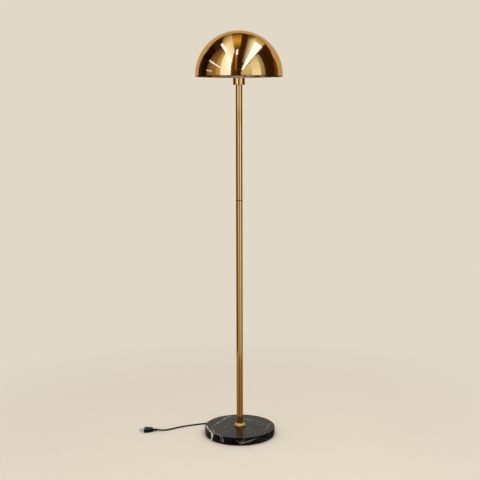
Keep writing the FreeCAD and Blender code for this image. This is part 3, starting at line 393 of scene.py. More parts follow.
class Tree:
    """A Geometry Nodes tree with named inputs."""

    def __init__(self, name, **inputs):
        self.tree = bpy.data.node_groups.new(name, "GeometryNodeTree")
        self.tree.is_modifier = True
        self.tree.interface.new_socket("Geometry", in_out="OUTPUT", socket_type="NodeSocketGeometry")
        self.sockets = {}
        for key, (kind, value) in inputs.items():
            made = self.tree.interface.new_socket(key, in_out="INPUT", socket_type="NodeSocket" + kind)
            if value is not None:
                made.default_value = value
            self.sockets[key] = made.identifier
        self.start = self.tree.nodes.new("NodeGroupInput").outputs
        self.end = self.tree.nodes.new("NodeGroupOutput")

    def node(self, kind, settings=None, **inputs):
        return add_node(self.tree, kind, settings or {}, inputs)

    def close(self, geometry):
        """Realize what was repeated, smooth it and set its finish."""
        real = self.node("GeometryNodeRealizeInstances", Geometry=geometry)
        smooth = self.node("GeometryNodeSetShadeSmooth", Geometry=real.outputs[0])
        made = self.node("GeometryNodeSetMaterial", Geometry=smooth.outputs[0], Material=self.start["Finish"])
        self.tree.links.new(made.outputs[0], self.end.inputs[0])
        return self

    def grow(self, name, slot, turn, **values):
        """Run the tree, keep its result as a plain mesh and put it in place."""
        carrier = bpy.data.objects.new(name + "_tree", bpy.data.meshes.new(name + "_tree"))
        bpy.context.collection.objects.link(carrier)
        modifier = carrier.modifiers.new("grow", "NODES")
        modifier.node_group = self.tree
        modifier[self.sockets["Finish"]] = finish(slot)
        for key, value in values.items():
            modifier[self.sockets[key.replace("_", " ")]] = value
        depsgraph = bpy.context.evaluated_depsgraph_get()
        mesh = bpy.data.meshes.new_from_object(carrier.evaluated_get(depsgraph), depsgraph=depsgraph)
        bpy.data.objects.remove(carrier)
        mesh.transform(turn)
        piece = bpy.data.objects.new(name, mesh)
        bpy.context.collection.objects.link(piece)
        if not len(mesh.polygons):
            raise RuntimeError(name + " came out empty")
        return piece


def ribs_tree():
    """Round ribs along Z whose radius runs evenly from the first to the last."""
    t = Tree("relief_ribs", Finish=("Material", None), Ribs=("Int", 5), First=("Float", 0.005),
             Last=("Float", 0.004), Length=("Float", 0.012), Thickness=("Float", 0.001))
    line = t.node("GeometryNodeMeshLine", {"mode": "END_POINTS"}, Count=t.start["Ribs"])
    top = t.node("ShaderNodeCombineXYZ", Z=t.start["Length"])
    t.tree.links.new(top.outputs[0], line.inputs["Offset"])
    index = t.node("GeometryNodeInputIndex")
    last = t.node("ShaderNodeMath", {"operation": "SUBTRACT"}, i0=t.start["Ribs"], i1=1.0)
    along = t.node("ShaderNodeMath", {"operation": "DIVIDE"}, i0=index.outputs[0], i1=last.outputs[0])
    radius = t.node("ShaderNodeMapRange", Value=along.outputs[0], To_Min=t.start["First"],
                    To_Max=t.start["Last"])
    ring = t.node("GeometryNodeCurvePrimitiveCircle", Resolution=48, Radius=1.0)
    size = t.node("ShaderNodeCombineXYZ", X=radius.outputs[0], Y=radius.outputs[0], Z=1.0)
    hoops = t.node("GeometryNodeInstanceOnPoints", Points=line.outputs[0], Instance=ring.outputs[0],
                   Scale=size.outputs[0])
    loose = t.node("GeometryNodeRealizeInstances", Geometry=hoops.outputs[0])
    half = t.node("ShaderNodeMath", {"operation": "MULTIPLY"}, i0=t.start["Thickness"], i1=0.5)
    section = t.node("GeometryNodeCurvePrimitiveCircle", Resolution=10, Radius=half.outputs[0])
    tubes = t.node("GeometryNodeCurveToMesh", Curve=loose.outputs[0], Profile_Curve=section.outputs[0])
    return t.close(tubes.outputs[0])


def grip_tree():
    """Upright grip bars with rounded ends, set round a circle about Z."""
    t = Tree("grip_bars", Finish=("Material", None), Bars=("Int", 24), Radius=("Float", 0.02),
             Length=("Float", 0.003), Thickness=("Float", 0.001))
    circle = t.node("GeometryNodeMeshCircle", Vertices=t.start["Bars"], Radius=t.start["Radius"])
    ball = t.node("GeometryNodeMeshIcoSphere", Radius=0.5, Subdivisions=2)
    size = t.node("ShaderNodeCombineXYZ", X=t.start["Thickness"], Y=t.start["Thickness"],
                  Z=t.start["Length"])
    bars = t.node("GeometryNodeInstanceOnPoints", Points=circle.outputs[0], Instance=ball.outputs[0],
                  Scale=size.outputs[0])
    return t.close(bars.outputs[0])


def thread_tree():
    """One round ridge that climbs a cylinder about Z."""
    t = Tree("thread_ridge", Finish=("Material", None), Turns=("Float", 6.0), Radius=("Float", 0.02),
             Length=("Float", 0.016), Thickness=("Float", 0.001))
    spiral = t.node("GeometryNodeCurveSpiral", Resolution=56, Rotations=t.start["Turns"],
                    Start_Radius=t.start["Radius"], End_Radius=t.start["Radius"], Height=t.start["Length"])
    half = t.node("ShaderNodeMath", {"operation": "MULTIPLY"}, i0=t.start["Thickness"], i1=0.5)
    section = t.node("GeometryNodeCurvePrimitiveCircle", Resolution=8, Radius=half.outputs[0])
    ridge = t.node("GeometryNodeCurveToMesh", Curve=spiral.outputs[0],
                   Profile_Curve=section.outputs[0], Fill_Caps=True)
    return t.close(ridge.outputs[0])


# ---------------------------------------------------------------- pieces

# how deep a grip bar's middle lies in its ring or knob, as a share of the bar's thickness
RING_BAR_SINK, KNOB_BAR_SINK = 0.2, 0.125
# share of a ring's height that its bars cover
RING_BAR_SHARE = 0.9


class DressOperator:
    """What the lamp's operators share"""
    bl_options = {"REGISTER", "UNDO"}


class LAMP_OT_brass(DressOperator, bpy.types.Operator):
    """Finish the dome, both tubes, the lampholder cup and the collar in polished brass"""
    bl_idname = "lamp.brass"
    bl_label = "Brass Pieces"

    def execute(self, context):
        coat_nodes("polished_brass")
        coat(frame["nodes"]["base_collar"], turned_brass("collar_brass", 0.20, 0.30))
        return {"FINISHED"}


class LAMP_OT_base(DressOperator, bpy.types.Operator):
    """Finish the marble base and the felt under it"""
    bl_idname = "lamp.base"
    bl_label = "Marble Base"

    def execute(self, context):
        coat_nodes("marble", "felt")
        return {"FINISHED"}


class LAMP_OT_fixings(DressOperator, bpy.types.Operator):
    """Finish the nuts, washers, nipples, bushes and the shade's carrier"""
    bl_idname = "lamp.fixings"
    bl_label = "Fixings"

    def execute(self, context):
        coat_nodes("plated_steel", "carrier_metal")
        return {"FINISHED"}


class LAMP_OT_lampholder(DressOperator, bpy.types.Operator):
    """Finish the lampholder, cut its thread and put grip bars on the shade rings"""
    bl_idname = "lamp.lampholder"
    bl_label = "Lampholder"

    def execute(self, context):
        coat_nodes("holder_plastic", "contact_brass", "wire_insulation")
        s = sizes()
        skirt_top = Place("lampholder_skirt").high.z
        start, end = Place("shade_ring_upper").high.z + s.thread_ridge, skirt_top - s.thread_ridge
        ridge = thread_tree().grow(
            "lampholder_thread", "holder_plastic", Matrix.Translation((0, 0, start)),
            Turns=(end - start) / s.thread_pitch, Radius=radius_near("lampholder_skirt", skirt_top),
            Length=end - start, Thickness=s.thread_ridge)
        join_lamp(ridge, "holder_plastic")
        grips = grip_tree()
        for name in ("shade_ring_lower", "shade_ring_upper"):
            ring = Place(name)
            bars = grips.grow(
                name + "_grip", "holder_plastic", Matrix.Translation((0, 0, ring.middle.z)), Bars=s.ring_bars,
                Radius=ring.half.x - s.knurl_width * RING_BAR_SINK, Length=ring.half.z * 2 * RING_BAR_SHARE,
                Thickness=s.knurl_width)
            join_lamp(bars, "holder_plastic")
        return {"FINISHED"}


class LAMP_OT_switch(DressOperator, bpy.types.Operator):
    """Finish the rotary switch and put grip bars round its knob"""
    bl_idname = "lamp.switch"
    bl_label = "Rotary Switch"

    def execute(self, context):
        coat_nodes("switch_plastic", "switch_metal")
        s = sizes()
        knob = Place("switch_knob")
        middle = Matrix.Translation((0, knob.low.y + s.knob_bar_setback, SWITCH_AXIS))
        bars = grip_tree().grow(
            "knob_grip", "switch_plastic", middle @ Matrix.Rotation(math.radians(-90), 4, "X"),
            Bars=s.knob_bars, Radius=knob.half.x - s.knob_bar_width * KNOB_BAR_SINK,
            Length=s.knob_bar_length, Thickness=s.knob_bar_width)
        join_lamp(bars, "switch_plastic", "switch_rotor")
        return {"FINISHED"}


class LAMP_OT_bulb(DressOperator, bpy.types.Operator):
    """Finish the bulb's globe, body, cap and contact"""
    bl_idname = "lamp.bulb"
    bl_label = "Bulb"

    def execute(self, context):
        coat_nodes("bulb_opal", "bulb_housing", "bulb_cap_metal", "bulb_insulation")
        return {"FINISHED"}


# ---------------------------------------------------------------- cord

# the cord leaves the strain relief's tip, winds behind the base and runs out to the plug
RELIEF_TIP = (0.07674, 0.12772, 0.0080)
ROOT_ROUTE = (
    RELIEF_TIP, (0.08441, 0.14049, 0.0080), (0.08700, 0.15491, 0.0060), (0.08400, 0.16780, 0.0038),
    (0.07560, 0.17840, 0.0030), (0.06372, 0.18500, 0.0032), (0.05037, 0.18650, 0.0046),
    (0.03880, 0.18420, 0.0076), (0.02850, 0.17680, 0.00925))
LEAD_ROUTE = (
    (-0.03050, 0.17740, 0.0031), (-0.04000, 0.18380, 0.0029), (-0.05070, 0.18560, 0.0029),
    (-0.0607, 0.1853, 0.0029), (-0.0708, 0.1824, 0.0029), (-0.0806, 0.1755, 0.0029),
    (-0.0922, 0.1630, 0.0029), (-0.1085, 0.1410, 0.0029), (-0.1260, 0.1140, 0.0029),
    (-0.1398, 0.1045, 0.0029), (-0.1580, 0.0996, 0.0029), (-0.1810, 0.0912, 0.0029),
    (-0.2050, 0.0818, 0.0029), (-0.2285, 0.0698, 0.0029), (-0.2495, 0.0565, 0.0029),
    (-0.2670, 0.0435, 0.0029), (-0.2850, 0.0330, 0.0029), (-0.3000, 0.0266, 0.0046),
    (-0.3120, 0.0250, 0.00685), (-0.3200, 0.0250, 0.00685))
HANK_MIDDLE = (-0.0015, 0.1557)
# heights of the upper and the lower layer, and how much lower the first fold lies on its far side
HANK_TOP, HANK_LOW, HANK_SINK = 0.00965, 0.0034, 0.0018
HANK_FOLDS = 6
FOLD_POINTS = 7

# ribs: radius of the first and the last one, and the way from one to the other
RELIEF_RIBS = {"First": 0.0047, "Last": 0.0040, "Length": 0.0110}
BOOT_RIBS = {"First": 0.0046, "Last": 0.0039, "Length": 0.0115}
# the first rib's distance from the strain relief's tip, and from the boot's end at the plug's body
RELIEF_RIBS_BACK, BOOT_RIBS_START = 0.0128, 0.0022


def waist_place(index):
    """Distance from the hank's middle line at which a strand passes the tie."""
    inward = min(index, HANK_FOLDS - index)
    return sizes().hank_waist_pitch * (HANK_FOLDS / 4 - inward // 2) * (-1) ** inward


def strand_flare(waist, middle, radius):
    """How far out of the tie a strand bends towards its fold, and how much it leans there."""
    reach, offset = sizes().hank_reach, abs(waist - middle)
    bow = (reach ** 2 + offset ** 2 - radius ** 2) / (2 * (radius - offset))
    lean = math.atan2(reach, bow + offset)
    return bow * math.tan(lean / 2), lean


def midway(first, second):
    return tuple((a + b) / 2 for a, b in zip(first, second))


def hank_points():
    """Strands drawn in at the tie and folded back at each end, as the wound cord's own points."""
    s = sizes()
    step_down = (HANK_TOP - HANK_LOW) / 3
    points = []
    for index in range(HANK_FOLDS):
        inward = min(index, HANK_FOLDS - 1 - index)
        side = -1 if index % 2 == 0 else 1
        radius = s.hank_fold_radius + s.hank_pitch * (HANK_FOLDS / 2 - 1 - inward) / 2
        middle = -s.hank_pitch / 2 if inward % 2 else 0.0
        height = HANK_TOP if index < HANK_FOLDS / 2 else HANK_LOW
        enter, leave = waist_place(index), waist_place(index + 1)
        corner_in, lean_in = strand_flare(enter, middle, radius)
        corner_out, lean_out = strand_flare(leave, middle, radius)
        start, end = (side * corner_in, enter, height), (side * corner_out, leave, height)
        turning = 1 if enter > middle else -1
        step = (math.pi + lean_in + lean_out) / FOLD_POINTS
        wide = radius / math.cos(step / 2)
        fold = []
        for i in range(FOLD_POINTS):
            around = math.pi / 2 + lean_in - step * (i + 0.5)
            lying = max(0.0, math.sin(around)) if index == 0 else 0.0
            fold.append((side * (s.hank_reach + wide * math.cos(around)),
                         middle + turning * wide * math.sin(around),
                         height - HANK_SINK * lying))
        if index == 0:
            points += [(-side * corner_in, enter, height), (-side * corner_in / 3, enter, height)]
        points += [(side * corner_in / 3, enter, height + step_down * (index == HANK_FOLDS / 2)),
                   start, midway(start, fold[0]), *fold, midway(fold[-1], end), end,
                   (side * corner_out / 3, leave, height - step_down * (index == HANK_FOLDS / 2 - 1))]
    points += [(-side * corner_out / 3, leave, height), (-side * corner_out, leave, height)]
    return [(x + HANK_MIDDLE[0], y + HANK_MIDDLE[1], z) for x, y, z in points]


class LAMP_OT_cord(DressOperator, bpy.types.Operator):
    """Lay the cord from the strain relief through its tied hank to the plug"""
    bl_idname = "lamp.cord"
    bl_label = "Cord"

    def execute(self, context):
        coat_nodes("cord_rubber", "tie_strap")
        line = bpy.data.curves.new("cord", "CURVE")
        line.dimensions = "3D"
        line.resolution_u = 5
        line.bevel_depth = sizes().cord_diameter / 2
        line.bevel_resolution = 3
        points = [*ROOT_ROUTE, *hank_points(), *LEAD_ROUTE]
        spline = line.splines.new("NURBS")
        spline.points.add(len(points) - 1)
        for point, place in zip(spline.points, points):
            point.co = (*place, 1.0)
        spline.order_u = 3
        spline.use_endpoint_u = True
        cord = bpy.data.objects.new("cord", line)
        context.collection.objects.link(cord)
        join_lamp(cord, "cord_rubber")
        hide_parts("cord_root", "cord_hank", "cord_lead")
        return {"FINISHED"}


class LAMP_OT_plug(DressOperator, bpy.types.Operator):
    """Finish the plug and rib its boot and the strain relief at the base"""
    bl_idname = "lamp.plug"
    bl_label = "Plug and Strain Reliefs"

    def execute(self, context):
        coat_nodes("plug_rubber", "plug_metal")
        s = sizes()
        ribs = ribs_tree()
        boot = Place("plug_boot")
        boot_end = Matrix.Translation((boot.low.x, boot.middle.y, boot.middle.z))
        along = Matrix.Rotation(math.radians(90), 4, "Y") @ Matrix.Translation((0, 0, BOOT_RIBS_START))
        boot_ribs = ribs.grow("plug_boot_ribs", "plug_rubber", boot_end @ along, Ribs=s.relief_ribs,
                              Thickness=s.relief_rib, **BOOT_RIBS)
        join_lamp(boot_ribs, "plug_rubber")
        way = Vector((*RELIEF_TIP[:2], 0.0))
        root = Matrix.Translation(Vector(RELIEF_TIP) - way.normalized() * RELIEF_RIBS_BACK)
        out = way.to_track_quat("Z", "X").to_matrix().to_4x4()
        relief_ribs = ribs.grow("relief_ribs", "cord_rubber", root @ out, Ribs=s.relief_ribs,
                                Thickness=s.relief_rib, **RELIEF_RIBS)
        join_lamp(relief_ribs, "cord_rubber")
        return {"FINISHED"}


# ---------------------------------------------------------------- studio and camera

# strength of a card, then its light: warm and deep where dim, bluish where bright, which brass turns white
TONES = (
    (0.00, (0.000, 0.000, 0.000)), (0.05, (0.055, 0.022, 0.002)), (0.15, (0.160, 0.085, 0.020)),
    (0.45, (0.480, 0.380, 0.220)), (0.85, (0.860, 0.740, 0.420)), (1.20, (1.100, 1.200, 1.200)),
    (2.00, (1.450, 1.800, 2.600)), (6.00, (2.200, 2.900, 6.400)))


def lit(strength, tint):
    """The light of a card's corner."""
    for (low, dim), (high, bright) in zip(TONES, TONES[1:]):
        if strength <= high:
            part = (strength - low) / (high - low)
            return [(a + (b - a) * part) * t for a, b, t in zip(dim, bright, tint)] + [1.0]
    raise ValueError("no card is as bright as that")


# rise of the line from a low card to its viewer, per length, under which the card looks like the paper
LOW_SIGHT = -0.03


def card_light(low):
    """Even light in the colour of the card's own glow; a low card looks like the paper from below."""
    name = "low_card_light" if low else "card_light"
    made = bpy.data.materials.get(name)
    if made:
        return made
    made = bpy.data.materials.new(name)
    made.use_nodes = True
    tree = made.node_tree
    tree.nodes.remove(tree.nodes["Principled BSDF"])
    glow = add_node(tree, "ShaderNodeAttribute", {"attribute_name": "glow"}, {}).outputs["Color"]
    if low:
        seen_from = add_node(tree, "ShaderNodeNewGeometry", {}, {}).outputs["Incoming"]
        rise = add_node(tree, "ShaderNodeSeparateXYZ", {}, {"Vector": seen_from}).outputs["Z"]
        above = add_node(tree, "ShaderNodeMath", {"operation": "GREATER_THAN"}, {"i0": rise, "i1": LOW_SIGHT})
        glow = add_node(tree, "ShaderNodeMix", {"data_type": "RGBA"}, {
            "i0": above.outputs[0], "i6": (*studio().paper, 1.0), "i7": glow}).outputs[2]
    light = add_node(tree, "ShaderNodeEmission", {}, {"Color": glow})
    tree.links.new(light.outputs[0], tree.nodes["Material Output"].inputs[0])
    return made


def card(name, tint, corners, faces=None, low=False):
    """Studio card that shows only in polished surfaces; each corner ends in its strength."""
    mesh = bpy.data.meshes.new(name)
    mesh.from_pydata([corner[:3] for corner in corners], [], faces or [tuple(range(len(corners)))])
    glow = mesh.attributes.new("glow", "FLOAT_COLOR", "POINT")
    for spot, corner in zip(glow.data, corners):
        spot.color = lit(corner[3], tint)
    made = bpy.data.objects.new(name, mesh)
    bpy.context.collection.objects.link(made)
    made.data.materials.append(card_light(low))
    for ray in ("camera", "diffuse", "transmission", "volume_scatter", "shadow"):
        setattr(made, "visible_" + ray, False)


# height of the point from which the dome's screens are placed
DOME_MIDDLE = 1.3586


def toward(angle, rise, distance, strength):
    """A card's corner, by its angles round from the front and up as seen from the dome's middle."""
    turn = math.radians(angle)
    return (distance * math.sin(turn), -distance * math.cos(turn),
            DOME_MIDDLE + distance * math.tan(math.radians(rise)), strength)


PLAIN, COOL = (1.0, 1.0, 1.0), (0.62, 0.80, 0.95)
AMBER, ORANGE = (0.85, 0.55, 0.12), (0.75, 0.36, 0.02)
SCREENS = (
    # tint, distance, then angle round, angle up and strength of each corner
    ("flag_left", PLAIN, 1.3, ((-126, -46, 0.03), (-88, -46, 0.02), (-88, 45, 0.01), (-126, 45, 0.03))),
    ("flag_left_gap", PLAIN, 1.2, ((-118, -46, 0.14), (-112, -46, 0.14), (-112, 22, 0.08), (-118, 22, 0.08))),
    ("wall_left", PLAIN, 1.5, ((-90, -12, 0.22), (-68, -12, 0.48), (-68, 55, 0.22), (-90, 56, 0.05))),
    ("wall_left_pier", PLAIN, 1.45, ((-68, -12, 0.30), (-60, -12, 0.42), (-60, 54, 0.40), (-68, 55, 0.20))),
    ("wall_left_end", PLAIN, 1.4, ((-60, -12, 0.55), (-46, -12, 0.70), (-46, 50, 1.00), (-60, 53, 0.50))),
    ("screen_left_low", PLAIN, 1.25, ((-47, -14, 0.80), (-19, -14, 0.90), (-19, -6, 1.2), (-47, -6, 1.1))),
    ("screen_left", PLAIN, 1.25, ((-47, -6, 1.7), (-20, -6, 2.4), (-20, 33, 5.5), (-47, 54, 2.6))),
    ("flag_middle_left", PLAIN, 1.3, ((-19, -46, 0.12), (-3, -46, 0.08), (-3, 62, 0.08), (-19, 62, 0.16))),
    ("line_low", ORANGE, 1.1, ((-10, 10, 0.6), (-6, 10, 0.6), (-6, 52, 2.4), (-10, 52, 2.4))),
    ("line_high", PLAIN, 1.1, ((-11, 50, 6.0), (-4, 50, 6.0), (-4, 78, 0.8), (-11, 78, 0.8))),
    ("flag_middle", PLAIN, 1.3, ((-3, -46, 0.05), (5, -46, 0.05), (5, 62, 0.02), (-3, 62, 0.03))),
    ("screen_middle", PLAIN, 1.25, ((5, -14, 0.60), (32, -14, 0.70), (32, 29, 1.5), (5, 6, 0.9))),
    ("screen_right_low", PLAIN, 1.25, ((32, -14, 1.0), (56, -14, 1.0), (56, -6, 1.5), (32, -6, 1.5))),
    ("screen_right", PLAIN, 1.25, ((32, -6, 2.0), (56, -6, 2.0), (56, 44, 0.95), (32, 30, 1.4))),
    ("screen_cool", COOL, 1.25, ((57, -47, 0.8), (68, -47, 0.8), (68, 44, 0.6), (57, 44, 1.1))),
    ("flag_right", PLAIN, 1.3, ((68, -46, 0.05), (101, -46, 0.05), (101, 44, 0.04), (68, 48, 0.06))),
    ("wall_right", PLAIN, 1.3, ((101, -46, 0.22), (118, -46, 0.26), (118, 20, 0.20), (101, 20, 0.10))),
    ("tube_left", PLAIN, 1.2, ((-88, 25.5, 6.0), (-47, 15, 6.0), (-47, 16.6, 6.0), (-88, 27.3, 6.0))),
    ("tube_left_low", PLAIN, 1.2, ((-89, 8, 1.4), (-71, 7, 3.5), (-71, 8.6, 3.5), (-89, 9.6, 1.4))),
)
# strength of the room's own ceiling and walls, and its height
ROOM, ROOM_HEIGHT = 0.06, 7.5
# height of the ceiling lights, and of the dimmer panels that stand just above them
LIGHTS, PANELS = 3.36, 3.37
CEILING = (
    # tint, height, then place and strength of each corner
    ("room_ceiling", PLAIN, ROOM_HEIGHT, (
        (-10.6, -24.0, ROOM), (10.6, -24.0, ROOM), (10.6, 6.4, ROOM), (6.0, 6.6, ROOM), (0.0, 5.9, ROOM),
        (-6.0, 6.6, ROOM), (-10.6, 7.3, ROOM))),
    ("strip_right", PLAIN, LIGHTS, (
        (0.975, -9.2, 6.0), (1.645, -9.2, 6.0), (1.645, 0.65, 6.0), (0.975, 0.65, 6.0))),
    ("strip_right_end", PLAIN, LIGHTS, (
        (0.975, 0.65, 1.0), (1.645, 0.65, 1.0), (1.645, 2.3, 0.4), (0.975, 2.3, 0.4))),
    ("strip_right_edge", PLAIN, PANELS, (
        (0.50, -3.5, 0.05), (0.975, -3.5, 0.9), (0.975, 0.5, 2.0), (0.50, 0.5, 0.25))),
    ("strip_right_edge_end", PLAIN, PANELS, (
        (0.50, 0.5, 0.25), (0.975, 0.5, 2.0), (0.975, 2.1, 0.3), (0.50, 2.0, 0.10))),
    ("panel_middle", AMBER, PANELS, (
        (-0.36, -0.9, 0.12), (0.08, -0.9, 0.10), (0.14, 0.1, 1.20), (-0.36, 0.1, 1.30))),
    ("panel_middle_end", AMBER, PANELS, (
        (-0.36, 0.1, 1.30), (0.14, 0.1, 1.20), (0.16, 1.6, 0.12), (-0.36, 1.6, 0.12))),
    ("strip_left", PLAIN, LIGHTS, (
        (-1.20, -3.5, 6.0), (-1.02, -3.5, 6.0), (-1.02, 0.40, 6.0), (-1.20, 0.40, 6.0))),
    ("panel_left", PLAIN, LIGHTS, (
        (-1.02, -3.6, 6.0), (-0.36, -3.6, 2.5), (-0.36, -0.5, 1.5), (-1.02, -0.5, 2.4))),
    ("panel_left_middle", PLAIN, LIGHTS, (
        (-1.02, -0.5, 2.4), (-0.36, -0.5, 1.5), (-0.36, 0.4, 1.2), (-1.02, 0.4, 0.7))),
    ("panel_left_end", PLAIN, LIGHTS, (
        (-1.02, 0.4, 0.7), (-0.36, 0.4, 1.2), (-0.36, 1.9, 0.28), (-0.70, 1.75, 0.15))),
)
WALLS = (
    # run along the floor from one place to the other
    ("room_left", (-10.6, -24.0), (-10.6, 7.3)),
    ("room_right", (10.6, -24.0), (10.6, 6.4)),
    ("room_front", (-10.6, -24.0), (10.6, -24.0)),
)
# low curtain and floor cloth that the pole and the base mirror: angle round the front and strength
CURTAIN = ((-125, 0.10), (-104, 0.03), (-88, 0.02), (-74, 0.35), (-52, 0.50), (-36, 0.55), (-30, 1.20),
           (-10, 1.60), (-4, 1.20), (4, 0.30), (24, 0.12), (32, 0.35), (38, 2.40), (54, 3.40), (62, 1.60),
           (68, 0.05), (112, 0.03), (118, 0.20))
CLOTH = ((-125, 0.40), (-92, 0.36), (-60, 0.42), (-40, 0.50), (-22, 0.46), (-14, 0.16), (0, 0.10), (10, 0.14),
         (22, 0.30), (36, 0.75), (50, 0.70), (58, 0.24), (80, 0.15), (100, 0.18), (118, 0.35))


def curtain(name, table, ends):
    """Card bent round the front; each end has its distance, height and share of the table's strength."""
    spread = []
    for angle, strength in table:
        turn = math.radians(angle)
        spread += [(radius * math.sin(turn), -radius * math.cos(turn), height, strength * part)
                   for radius, height, part in ends]
    card(name, PLAIN, spread, [(i, i + 1, i + 3, i + 2) for i in range(0, len(spread) - 2, 2)], low=True)


def set_cards():
    """Set the screens, ceiling, walls, curtain and cloth that the polished surfaces mirror."""
    for name, tint, distance, corners in SCREENS:
        card(name, tint, [toward(angle, rise, distance, strength) for angle, rise, strength in corners])
    for name, tint, height, corners in CEILING:
        card(name, tint, [(x, y, height, strength) for x, y, strength in corners])
    for name, start, end in WALLS:
        card(name, PLAIN, [(*place, height, ROOM) for place, height in (
            (start, 0.0), (end, 0.0), (end, ROOM_HEIGHT), (start, ROOM_HEIGHT))])
    curtain("low_curtain", CURTAIN, ((1.15, 0.01, 0.62), (1.15, 1.155, 1.0)))
    curtain("floor_cloth", CLOTH, ((0.142, 0.002, 0.8), (1.15, 0.002, 1.0)))


def strip_light(name, across, start, end, width, power):
    """Long soft light that hangs under the ceiling, points down and isn't mirrored."""
    lamp = bpy.data.lights.new(name, "AREA")
    lamp.shape = "RECTANGLE"
    lamp.size, lamp.size_y = width, end - start
    lamp.energy = power
    lamp.color = (1.0, 0.94, 0.89)
    made = bpy.data.objects.new(name, lamp)
    made.location = (across, (start + end) / 2, LIGHTS)
    made.visible_glossy = False
    bpy.context.collection.objects.link(made)


def backdrop_world(paper, fill):
    """Even white light on the lamp, and the pale paper wherever the sky is seen or mirrored."""
    world = bpy.data.worlds.new("studio")
    bpy.context.scene.world = world
    world.use_nodes = True
    tree = world.node_tree
    even = tree.nodes["Background"]
    even.inputs[0].default_value = (1.0, 1.0, 1.0, 1.0)
    even.inputs[1].default_value = fill
    seen = add_node(tree, "ShaderNodeBackground", {}, {"Color": (*paper, 1.0)})
    rays = add_node(tree, "ShaderNodeLightPath", {}, {}).outputs
    add = {"operation": "ADD", "use_clamp": True}
    direct = add_node(tree, "ShaderNodeMath", add, {"i0": rays["Is Camera Ray"], "i1": rays["Is Glossy Ray"]})
    all_seen = add_node(tree, "ShaderNodeMath", add, {
        "i0": direct.outputs[0], "i1": rays["Is Transmission Ray"]})
    mix = add_node(tree, "ShaderNodeMixShader", {}, {
        "i0": all_seen.outputs[0], "i1": even.outputs[0], "i2": seen.outputs[0]})
    tree.links.new(mix.outputs[0], tree.nodes["World Output"].inputs[0])


# distances from the lamp at which the floor starts to fade into the backdrop's colour and has done so
FLOOR_FADE = (0.45, 1.6)
FLOOR_RINGS, FLOOR_SIDES = (0.3, 0.8, 1.6, 5.0, 30.0), 64


def paper_floor(paper):
    """Round pale floor that keeps the lamp's shadow and fades into the backdrop's colour."""
    floor = Finish("floor_paper", Roughness=0.9, Specular_IOR_Level=0.0)
    fibres = floor.between(floor.noise(420.0, 3.0, 0.6), 0.2, 0.8, 0.985, 1.0)
    tinted = floor.node("VectorMath", {"operation": "SCALE"}, i0=tuple(paper), Scale=fibres)
    floor.feed("Base Color", tinted.outputs[0])
    away = floor.node("VectorMath", {"operation": "LENGTH"}, i0=floor.place).outputs["Value"]
    fade = floor.between(away, *FLOOR_FADE)
    plain = floor.node("Emission", Color=(*paper, 1.0), Strength=1.0)
    mix = floor.node("MixShader", i0=fade, i1=floor.shader.outputs[0], i2=plain.outputs[0])
    floor.tree.links.new(mix.outputs[0], floor.tree.nodes["Material Output"].inputs[0])
    mesh = bpy.data.meshes.new("studio_floor")
    sides = FLOOR_SIDES
    verts = [(0.0, 0.0, 0.0)] + [
        (radius * math.cos(2 * math.pi * i / sides), radius * math.sin(2 * math.pi * i / sides), 0.0)
        for radius in FLOOR_RINGS for i in range(sides)]
    faces = [(0, 1 + i, 1 + (i + 1) % sides) for i in range(sides)]
    for ring in range(len(FLOOR_RINGS) - 1):
        near, far = 1 + ring * sides, 1 + (ring + 1) * sides
        faces += [(near + i, far + i, far + (i + 1) % sides, near + (i + 1) % sides) for i in range(sides)]
    mesh.from_pydata(verts, [], faces)
    made = bpy.data.objects.new("studio_floor", mesh)
    bpy.context.collection.objects.link(made)
    coat(made, floor.material)


# camera: its place, how far it looks down and leans in degrees, and its lens and sensor in millimetres
CAMERA_PLACE = (0.00232, -3.50578, 1.27068)
CAMERA_DOWN, CAMERA_ROLL = 8.40821, -0.13296
CAMERA_LENS, CAMERA_SENSOR = 71.209, 36.0


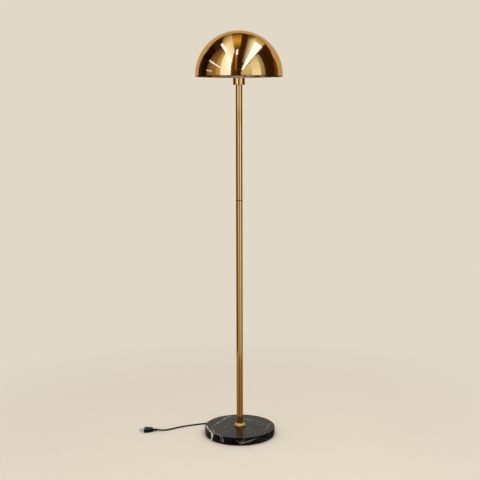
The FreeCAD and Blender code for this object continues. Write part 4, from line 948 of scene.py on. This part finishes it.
class LAMP_OT_studio(DressOperator, bpy.types.Operator):
    """Set up the pale floor, the soft lights, the cards and the camera"""
    bl_idname = "lamp.studio"
    bl_label = "Studio"

    def execute(self, context):
        s = studio()
        context.scene.view_settings.view_transform = "Standard"
        backdrop_world(s.paper, s.fill)
        paper_floor(s.paper)
        strip_light("lamp_right", across=1.31, start=-6.0, end=0.5, width=0.67, power=s.right_strip)
        strip_light("lamp_left", across=-1.155, start=-3.5, end=0.54, width=0.20, power=s.left_strip)
        set_cards()
        camera = bpy.data.cameras.new("camera")
        camera.lens, camera.sensor_width = CAMERA_LENS, CAMERA_SENSOR
        made = bpy.data.objects.new("camera", camera)
        context.collection.objects.link(made)
        tilt = Matrix.Rotation(math.radians(90 - CAMERA_DOWN), 4, "X")
        roll = Matrix.Rotation(math.radians(CAMERA_ROLL), 4, "Z")
        made.matrix_world = Matrix.Translation(CAMERA_PLACE) @ tilt @ roll
        context.scene.camera = made
        return {"FINISHED"}


# ---------------------------------------------------------------- panel


class LAMP_PT_panel(bpy.types.Panel):
    """Lists the pieces of the lamp with their sizes and colours"""
    bl_label = "Floor Lamp"
    bl_idname = "LAMP_PT_panel"
    bl_space_type = "VIEW_3D"
    bl_region_type = "UI"
    bl_category = "Floor Lamp"

    def draw(self, context):
        column = self.layout.column(align=True)
        for operator in OPERATORS:
            column.operator(operator.bl_idname)
        for group in (context.scene.lamp_sizes, context.scene.lamp_colours, context.scene.lamp_studio):
            box = self.layout.box()
            for key in group.__annotations__:
                box.prop(group, key)


OPERATORS = (
    LAMP_OT_cord, LAMP_OT_brass, LAMP_OT_base, LAMP_OT_fixings, LAMP_OT_lampholder, LAMP_OT_switch,
    LAMP_OT_bulb, LAMP_OT_plug, LAMP_OT_studio)
CLASSES = (LampSizes, LampColours, StudioSettings, *OPERATORS, LAMP_PT_panel)


def register():
    for cls in CLASSES:
        bpy.utils.register_class(cls)
    bpy.types.Scene.lamp_sizes = PointerProperty(type=LampSizes)
    bpy.types.Scene.lamp_colours = PointerProperty(type=LampColours)
    bpy.types.Scene.lamp_studio = PointerProperty(type=StudioSettings)


def unregister():
    for key in ("lamp_studio", "lamp_colours", "lamp_sizes"):
        delattr(bpy.types.Scene, key)
    for cls in reversed(CLASSES):
        bpy.utils.unregister_class(cls)


def main():
    register()
    for operator in OPERATORS:
        group, name = operator.bl_idname.split(".")
        getattr(getattr(bpy.ops, group), name)()


if __name__ == "__main__":
    main()
